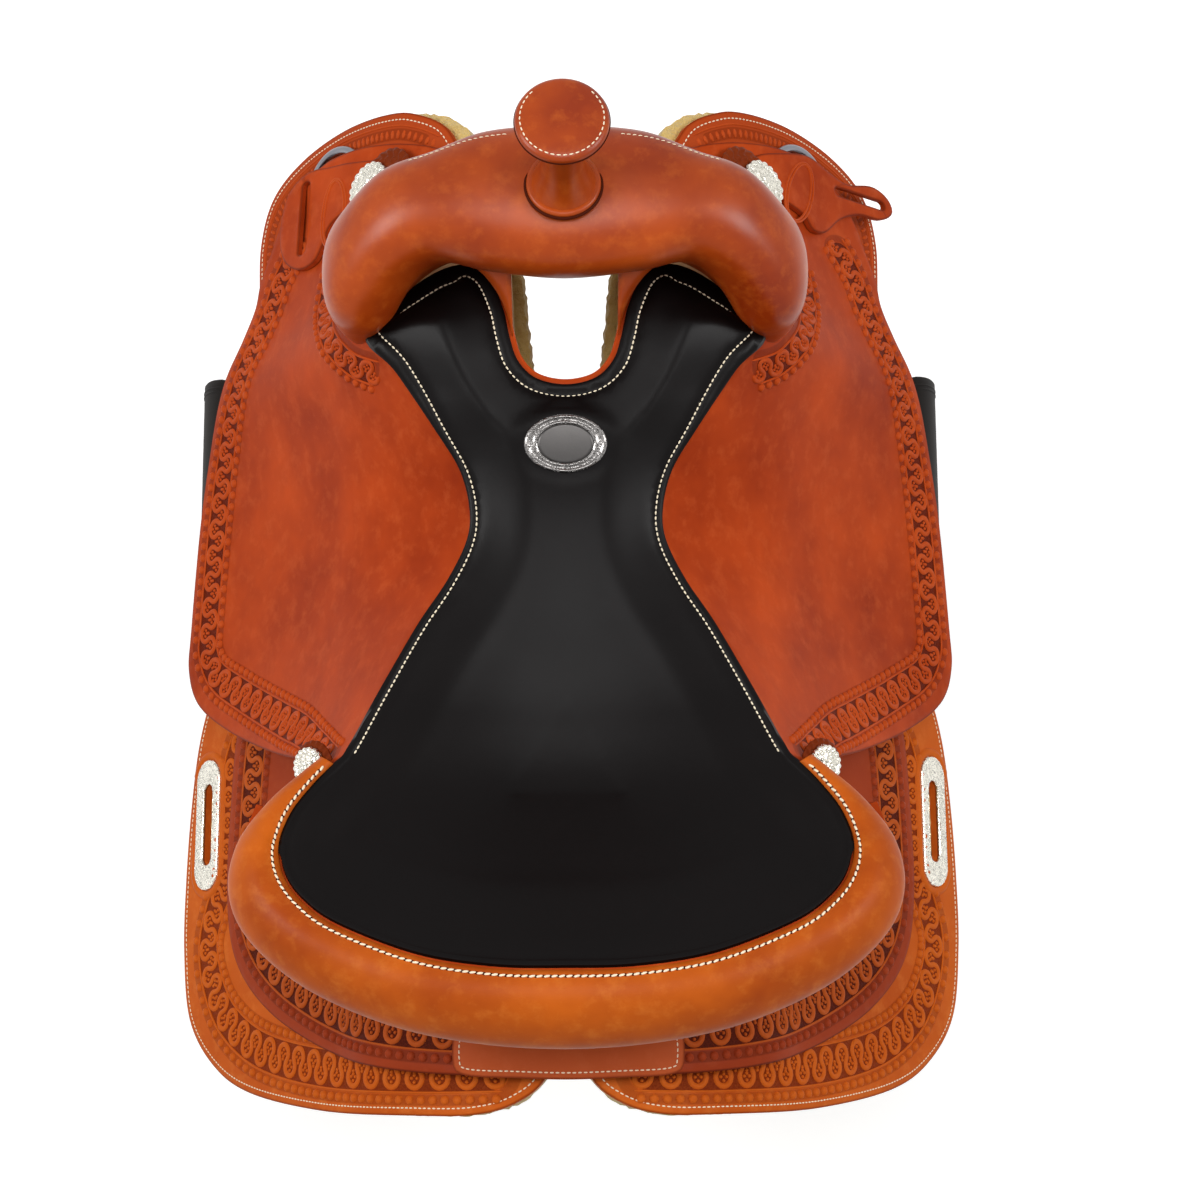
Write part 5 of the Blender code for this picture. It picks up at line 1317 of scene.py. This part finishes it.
def make_swell():
    """The fork's wood, the leather formed over it and the seams sewn along its front."""
    rings = fork_skin(0.0, COVER_FOOT)
    obj = skin("swell_leather", rings, swell_leather, "saddle", caps=True)
    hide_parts("swell_cover")
    obj = skin("fork_wood", fork_skin(-COVER_THICK, FORK_FOOT), wood, "saddle", caps=True)
    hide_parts("fork")
    middle = rings.mean(axis=1)
    reach = np.abs(middle[:, 0])
    for _, side in SIDES:
        kept = (np.sign(middle[:, 0]) == side) & (reach > SWELL_SEAM[0]) & (reach < SWELL_SEAM[1])
        line = rings[kept, SWELL_SEAM_CORNER]
        stitches.sew(line, line - middle[kept])


def make_fork_back():
    """The cover's leather where it runs down the back of the fork to the seat."""
    stations = fork_skin(-1.0, COVER_FOOT)
    middle = stations.mean(axis=1)
    kept = stations[(middle[:, 0] > FORK_BACK[0]) & (middle[:, 2] > FORK_BACK[1])]
    top = kept[:, FORK_BACK_CORNER]
    run = run_along(top)
    front = smooth(FORK_BACK_FOOT, 10, closed=False)
    front = at_run(front, np.linspace(0, 1, len(front)), run / run[-1])
    foot = bed(front[:, 0], front[:, 1], -2.0)
    share = np.linspace(0, 1, 9)[:, None, None]
    outside = top * (1 - share) + foot * share + np.array(FORK_BACK_BULGE) * share * (1 - share)
    inside = (outside + (0.0, FORK_BACK_THICK, 0.0))[::-1]
    rings = np.concatenate([outside, inside]).transpose(1, 0, 2)
    for label, side in SIDES:
        obj = skin(f"fork_back_leather_{label}", rings, swell_leather, "saddle", caps=True, side=side)


def horn_place(height):
    """The point at a height up the horn's axis."""
    return np.array(HORN_BASE) + np.array(HORN_AXIS) * height


def round_horn(angle):
    """Directions square to the horn's axis, at angles round it."""
    across = unit(np.cross(HORN_AXIS, (0.0, 1.0, 0.0)))
    other = np.cross(HORN_AXIS, across)
    return across * np.cos(angle)[:, None] + other * np.sin(angle)[:, None]


def make_horn():
    """The horn's steel post and the leather of its neck, collar and cap."""
    obj = turned("horn_neck_leather", HORN_NECK, swell_leather)
    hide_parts("horn_neck_wrap")
    obj = turned("horn_steel_post", HORN_POST, steel, 48, steps=0)
    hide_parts("horn_post")
    obj = turned("horn_cap_leather", HORN_CAP, swell_leather, 96)
    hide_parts("horn_cap")
    obj = turned("horn_collar_leather", HORN_COLLAR, swell_leather)
    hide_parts("horn_collar")
    # The dark welt round the cap is burnished leather; the dark ring low on the collar is painted shade
    # standing for its groove
    for name, radius, height, thick in (("horn_cap_welt", 26.2, 74.0, 0.9),
                                        ("horn_collar_groove_shade", 22.2, 4.6, 1.2)):
        ring = [(radius + thick * math.cos(a), height + thick * math.sin(a))
                for a in np.linspace(0, 2 * math.pi, 9)]
        obj = turned(name, ring, dark_edge_and_shade, 96, steps=0)
    angle = np.linspace(-math.pi / 2 + HORN_STITCH_GAP, 1.5 * math.pi - HORN_STITCH_GAP, 90)
    line = horn_place(HORN_STITCH_HEIGHT) + round_horn(angle) * HORN_STITCH_RADIUS
    stitches.sew(line, np.tile(HORN_AXIS, (len(line), 1)))


# Silver, steel and the slotted leathers in front

def medal(name, place, axis, radius, edge, relief, finish, side=1, stretch=(1.0, 1.0), steps=34, corners=144):
    """A round or oval badge. edge(angle) gives its outline, relief(share, angle) its height."""
    axis = unit(np.array(axis, float))
    across = unit(np.cross((0.0, 1.0, 0.0), axis))
    other = np.cross(axis, across)
    angle = np.linspace(0, 2 * math.pi, corners, endpoint=False)
    rim = across * (np.cos(angle) * stretch[0])[:, None] + other * (np.sin(angle) * stretch[1])[:, None]
    rim = rim * (radius * edge(angle) * np.ones(corners))[:, None]
    rings = [place + rim]
    for share in np.linspace(1.0, 0.02, steps):
        rings.append(place + rim * share + axis * (relief(share, angle) * np.ones(corners))[:, None])
    return skin(name, rings, finish, "saddle", caps=True, side=side)


def concho_relief(share, angle):
    """Shell petals, a groove, curls and a flower, on a low dome."""
    level = CONCHO_THICK + CONCHO_DOME * (1 - share**2)
    petals = 0.7 * np.abs(np.cos(angle * 9)) * np.exp(-(((share - 0.86) / 0.12) ** 2))
    groove = -0.6 * np.exp(-(((share - 0.7) / 0.035) ** 2))
    curls = 0.55 * np.cos(angle * 9 + 5 * share) * np.exp(-(((share - 0.52) / 0.12) ** 2))
    flower = 0.8 * np.abs(np.cos(angle * 3)) * np.exp(-(((share - 0.22) / 0.1) ** 2))
    heart = 0.9 * np.exp(-((share / 0.09) ** 2))
    return (level + petals + groove + curls + flower + heart) * ease((1.02 - share) / 0.06) + 0.4


def rosette_relief(share, angle):
    """Two braided rings of leather."""
    outer = np.exp(-(((share - 0.88) / 0.09) ** 2)) * (1.2 + 0.9 * np.cos(angle * 20 + 12 * share))
    inner = np.exp(-(((share - 0.66) / 0.08) ** 2)) * (1.2 + 0.9 * np.cos(angle * 16 - 12 * share))
    return 0.6 + 1.2 * ease((1.0 - share) / 0.2) + outer + inner


def make_conchos():
    """The four silver conchos, each on its braided rosette."""
    front = bed(*FRONT_CONCHO_PLAN, FRONT_CONCHO_LIFT)
    front_axis = bed(*FRONT_CONCHO_PLAN, FRONT_CONCHO_LIFT + 1.0) - front
    front_rosette = bed(*FRONT_ROSETTE_PLAN, FRONT_CONCHO_LIFT)
    rear = bed(*REAR_CONCHO_PLAN, REAR_CONCHO_LIFT)
    ends = (("front", front, front_axis, FRONT_CONCHO_RADIUS, front_rosette, FRONT_ROSETTE_RADIUS),
            ("rear", rear, unit(np.array(REAR_CONCHO_FACING)), REAR_CONCHO_RADIUS, rear, REAR_ROSETTE_RADIUS))
    for label, side in SIDES:
        for end, place, axis, radius, rosette, reach in ends:
            obj = medal(f"braided_rosette_{end}_{label}", rosette, axis, reach,
                        lambda a: 0.97 + 0.03 * np.abs(np.cos(a * 10)), rosette_relief, edge_rosette, side)
            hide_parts(f"{end}_rosette_{label}")
            obj = medal(f"scalloped_concho_{end}_{label}", place + axis * CONCHO_LIFT, axis, radius,
                        lambda a: 0.93 + 0.07 * np.abs(np.cos(a * 9)), concho_relief, silver, side)
            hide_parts(f"{end}_concho_{label}")


def make_keepers():
    """The two slotted leathers in front, which differ in outline and in the way their slots run."""
    for label, side, plan, slot, stamp in (
            ("left", -1, KEEPER_LEFT_PLAN, KEEPER_LEFT_SLOT, KEEPER_LEFT_STAMP),
            ("right", 1, KEEPER_RIGHT_PLAN, KEEPER_RIGHT_SLOT, KEEPER_RIGHT_STAMP)):
        obj = panel(f"slotted_keeper_{label}", plan, bed, KEEPER_LIFT, KEEPER_LIFT + KEEPER_THICK, russet,
                    "saddle", side, pitch=3.0, holes=[slot_ring(*slot)])
        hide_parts(f"latigo_keeper_{label}")
        middle, half_across, half_along, turn = stamp
        angle = np.linspace(0, 2 * math.pi, 73)
        c, s = math.cos(math.radians(turn)), math.sin(math.radians(turn))
        for share in (1.0, 0.8):
            p, q = half_across * share * np.cos(angle), half_along * (share * 0.25 + 0.75) * np.sin(angle)
            oval = np.stack([middle[0] + c * p - s * q, middle[1] + s * p + c * q], axis=1)
            russet_work.rib(*on_surface(bed, oval, KEEPER_LIFT + KEEPER_THICK, side), 0.9, 0.8)


def side_axes(y):
    """Down the right side, along the saddle, and square out of the flat side of the back."""
    down = np.array((math.cos(SIDE_SLOPE), 0.0, -math.sin(SIDE_SLOPE)))
    ahead = unit(np.array((0.0, 2.0, ridge(y + 1) - ridge(y - 1))))
    square = unit(np.cross(down, ahead))
    return down, np.cross(square, down), square


def make_rings():
    """The steel rings that lie on the skirts."""
    place = drape(*RIGGING_RING_PLACE, SKIRT_TOP + RING_CLEARANCE)
    down, ahead, square = side_axes(RIGGING_RING_PLACE[1])
    turn = np.linspace(0, 2 * math.pi, 96, endpoint=False)[:, None, None]
    round_wire = np.linspace(0, 2 * math.pi, 16, endpoint=False)[None, :, None]
    out = down * np.cos(turn) + ahead * np.sin(turn)
    rings = (place + out * (RIGGING_RING_RADIUS + RIGGING_WIRE_RADIUS * np.cos(round_wire))
             + square * RIGGING_WIRE_RADIUS * np.sin(round_wire))
    for label, side in SIDES:
        obj = skin(f"steel_rigging_ring_{label}", rings, steel, f"rigging_ring_{label}_body",
                   closed_along=True, side=side)
        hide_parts(f"rigging_ring_{label}")


# Fenders and stirrups

def fender_place(drop, ahead, lift):
    """Points of the right fender: a drop below its pivot and a place forward of its middle."""
    drop, ahead, lift = np.broadcast_arrays(np.asarray(drop, float), ahead, lift)
    s = FENDER_PIVOT[0] + drop * math.cos(FENDER_LEAN) - ahead * math.sin(FENDER_LEAN)
    y = FENDER_PIVOT[1] + drop * math.sin(FENDER_LEAN) + ahead * math.cos(FENDER_LEAN)
    low = drape(np.minimum(s, FENDER_BEND_START), FENDER_PIVOT[1], 0.0)
    turn = np.clip((s - FENDER_BEND_START) / FENDER_BEND_RADIUS, 0, FENDER_BEND)
    run = np.maximum(s - FENDER_BEND_START - FENDER_BEND_RADIUS * FENDER_BEND, 0.0)
    q = SIDE_SLOPE + turn
    x = low[..., 0] + FENDER_BEND_RADIUS * (np.sin(q) - math.sin(SIDE_SLOPE)) + run * np.cos(q)
    z = low[..., 2] + FENDER_BEND_RADIUS * (np.cos(q) - math.cos(SIDE_SLOPE)) - run * np.sin(q)
    q = np.minimum(s / CROWN_RADIUS, SIDE_SLOPE) + turn
    return np.stack([x + lift * np.sin(q), y, z + lift * np.cos(q)], axis=-1)


def stirrup_rings():
    """The stirrup's section swept round its opening, ribbed as its lacing is."""
    place = fender_place(STIRRUP_BOLT_DROP, 0.0, FENDER_LIFT)
    behind, front = (fender_place(STIRRUP_BOLT_DROP, step, FENDER_LIFT) for step in (-1.0, 1.0))
    above, below = (fender_place(STIRRUP_BOLT_DROP + step, 0.0, FENDER_LIFT) for step in (-1.0, 1.0))
    across, down = unit(front - behind), below - above
    out = unit(np.cross(across, down))
    out *= math.copysign(1, out[0])
    down = unit(down - across * down.dot(across))
    path = smooth(STIRRUP_PATH, 12, closed=False)
    path = evenly(np.concatenate([path * (-1, 1), path[::-1][1:]]), STIRRUP_PITCH, closed=False)
    ahead = unit(np.gradient(path, axis=0))
    share = ease((path[:, 1] - 20) / (STIRRUP_HEIGHT - 30))
    deep = (STIRRUP_TOP_DEPTH + (STIRRUP_TREAD_DEPTH - STIRRUP_TOP_DEPTH) * share) / 2
    ribs = STIRRUP_RIB_HEIGHT * np.cos(np.arange(len(path)) * STIRRUP_PITCH * 2 * math.pi / STIRRUP_RIB)
    angle = np.linspace(0, 2 * math.pi, 28, endpoint=False)
    a = np.sign(np.cos(angle)) * np.abs(np.cos(angle)) ** 0.45
    b = np.sign(np.sin(angle)) * np.abs(np.sin(angle)) ** 0.6
    thick = (STIRRUP_THICK / 2 + ribs)[:, None] * b
    u = path[:, :1] - ahead[:, 1:] * thick
    v = path[:, 1:] + ahead[:, :1] * thick
    n = (deep + ribs)[:, None] * a
    return place + u[..., None] * across + v[..., None] * down + n[..., None] * out


def make_fenders():
    """The fenders with their two creased lines, and the stirrups that hang from them."""
    for label, side in SIDES:
        body = f"fender_{label}_assembly"
        crease = Work(f"fender_crease_{label}", black_strap, "black_leather", body)
        obj = panel(f"shaped_fender_{label}", FENDER_PATTERN, fender_place, FENDER_LIFT,
                    FENDER_LIFT + FENDER_THICK, black_strap, body, side, steps=6)
        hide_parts(f"fender_{label}")
        for inward in FENDER_CREASE_INSETS:
            line = closed_line(FENDER_PATTERN, inward, 6)
            crease.rib(*on_surface(fender_place, line, FENDER_LIFT + FENDER_THICK, side), 0.8, 0.5)
        crease.finished()
        obj = skin(f"laced_stirrup_{label}", stirrup_rings(), black_strap, f"stirrup_{label}_assembly",
                   caps=True, side=side)
        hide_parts(f"stirrup_{label}")


# What stays as the solid is, with its own finish

KEPT = {
    "tree_wood": wood, "russet_leather": russet_plain, "tan_leather": tan_plain, "dark_leather": russet_plain,
    "black_leather": black_strap, "fleece": fleece, "steel": steel, "silver": silver,
}


def finish_solids():
    """Gives every solid the finish of its slot."""
    slots = {s["node"]: s["material_slot"] for s in frame["record"]["subparts"]}
    for name, obj in frame["nodes"].items():
        obj.data.materials.clear()
        obj.data.materials.append(KEPT[slots[name]])
        obj.data.shade_smooth()
        obj.data.set_sharp_from_angle(angle=math.radians(35))


# Camera, light and floor

def set_camera():
    """The lens and the place that the photograph was taken with."""
    lens = bpy.data.cameras.new("camera")
    lens.sensor_width = SENSOR_WIDTH
    lens.lens = FOCAL_PIXELS / PHOTO_PIXELS * SENSOR_WIDTH
    lens.clip_start = 0.01
    camera = bpy.data.objects.new("camera", lens)
    bpy.context.scene.collection.objects.link(camera)
    turn = Matrix.Identity(3)
    for axis, angle in CAMERA_TURNS:
        turn = turn @ Matrix.Rotation(math.radians(angle), 3, axis)
    camera.matrix_world = Matrix.Translation(Vector(CAMERA_PLACE) * MM) @ turn.to_4x4()
    bpy.context.scene.camera = camera


def set_light(name, place, size, power):
    """A round white softbox that faces the saddle."""
    data = bpy.data.lights.new(name, "AREA")
    data.shape = "DISK"
    data.size = size
    data.energy = power
    lamp = bpy.data.objects.new(name, data)
    lamp.location = place
    lamp.rotation_euler = (Vector(LIGHT_TARGET) - lamp.location).to_track_quat("-Z", "Y").to_euler()
    bpy.context.scene.collection.objects.link(lamp)


def seen_directly(tree):
    """1 for rays from the camera, or mirrored or refracted by the object."""
    path = add(tree, "ShaderNodeLightPath", {})
    kinds = ("Camera", "Glossy", "Transmission")
    camera, glossy, through = (path.outputs[f"Is {kind} Ray"] for kind in kinds)
    either = add(tree, "ShaderNodeMath", {0: camera, 1: glossy}, operation="MAXIMUM")
    return add(tree, "ShaderNodeMath", {0: either, 1: through}, operation="MAXIMUM")


def set_stage():
    """A white floor and surround that keep the saddle's shadow."""
    mesh = bpy.data.meshes.new("floor")
    corners = ((-1, -1), (1, -1), (1, 1), (-1, 1))
    mesh.from_pydata([(x * FLOOR_HALF, y * FLOOR_HALF, FLOOR_LEVEL) for x, y in corners], [], [(0, 1, 2, 3)])
    floor = bpy.data.objects.new("floor", mesh)
    bpy.context.scene.collection.objects.link(floor)
    made, tree, shader, _ = new_material("studio floor, matt white")
    glow = add(tree, "ShaderNodeMath", {0: seen_directly(tree), 1: FLOOR_GLOW}, operation="MULTIPLY")
    feed(tree, shader, {"Base Color": (0.8, 0.8, 0.8, 1), "Roughness": 0.9, "Emission Color": (1, 1, 1, 1),
                        "Emission Strength": glow})
    floor.data.materials.append(made)
    world = bpy.data.worlds.new("studio")
    bpy.context.scene.world = world
    world.use_nodes = True
    tree = world.node_tree
    strength = add(tree, "ShaderNodeMath", {0: seen_directly(tree), 1: 1.0 - WORLD_LIGHT, 2: WORLD_LIGHT},
                   operation="MULTIPLY_ADD")
    feed(tree, tree.nodes["Background"], {"Color": (1, 1, 1, 1), "Strength": strength})
    set_light("softbox left", (-1.5, 0.1, 1.3), 0.8, 20)
    set_light("softbox right", (1.5, 0.1, 1.4), 0.8, 18)
    set_light("softbox overhead", (0.0, 0.1, 2.4), 1.1, 20)
    bpy.context.scene.view_settings.view_transform = "Standard"


finish_solids()
make_skirts()
make_seat()
make_nameplate()
make_roll()
make_swell()
make_fork_back()
make_horn()
make_conchos()
make_keepers()
make_rings()
make_fenders()
for work in (stitches, holes, russet_work, tan_work, dark_work, dark_bosses):
    work.finished()
set_camera()
set_stage()
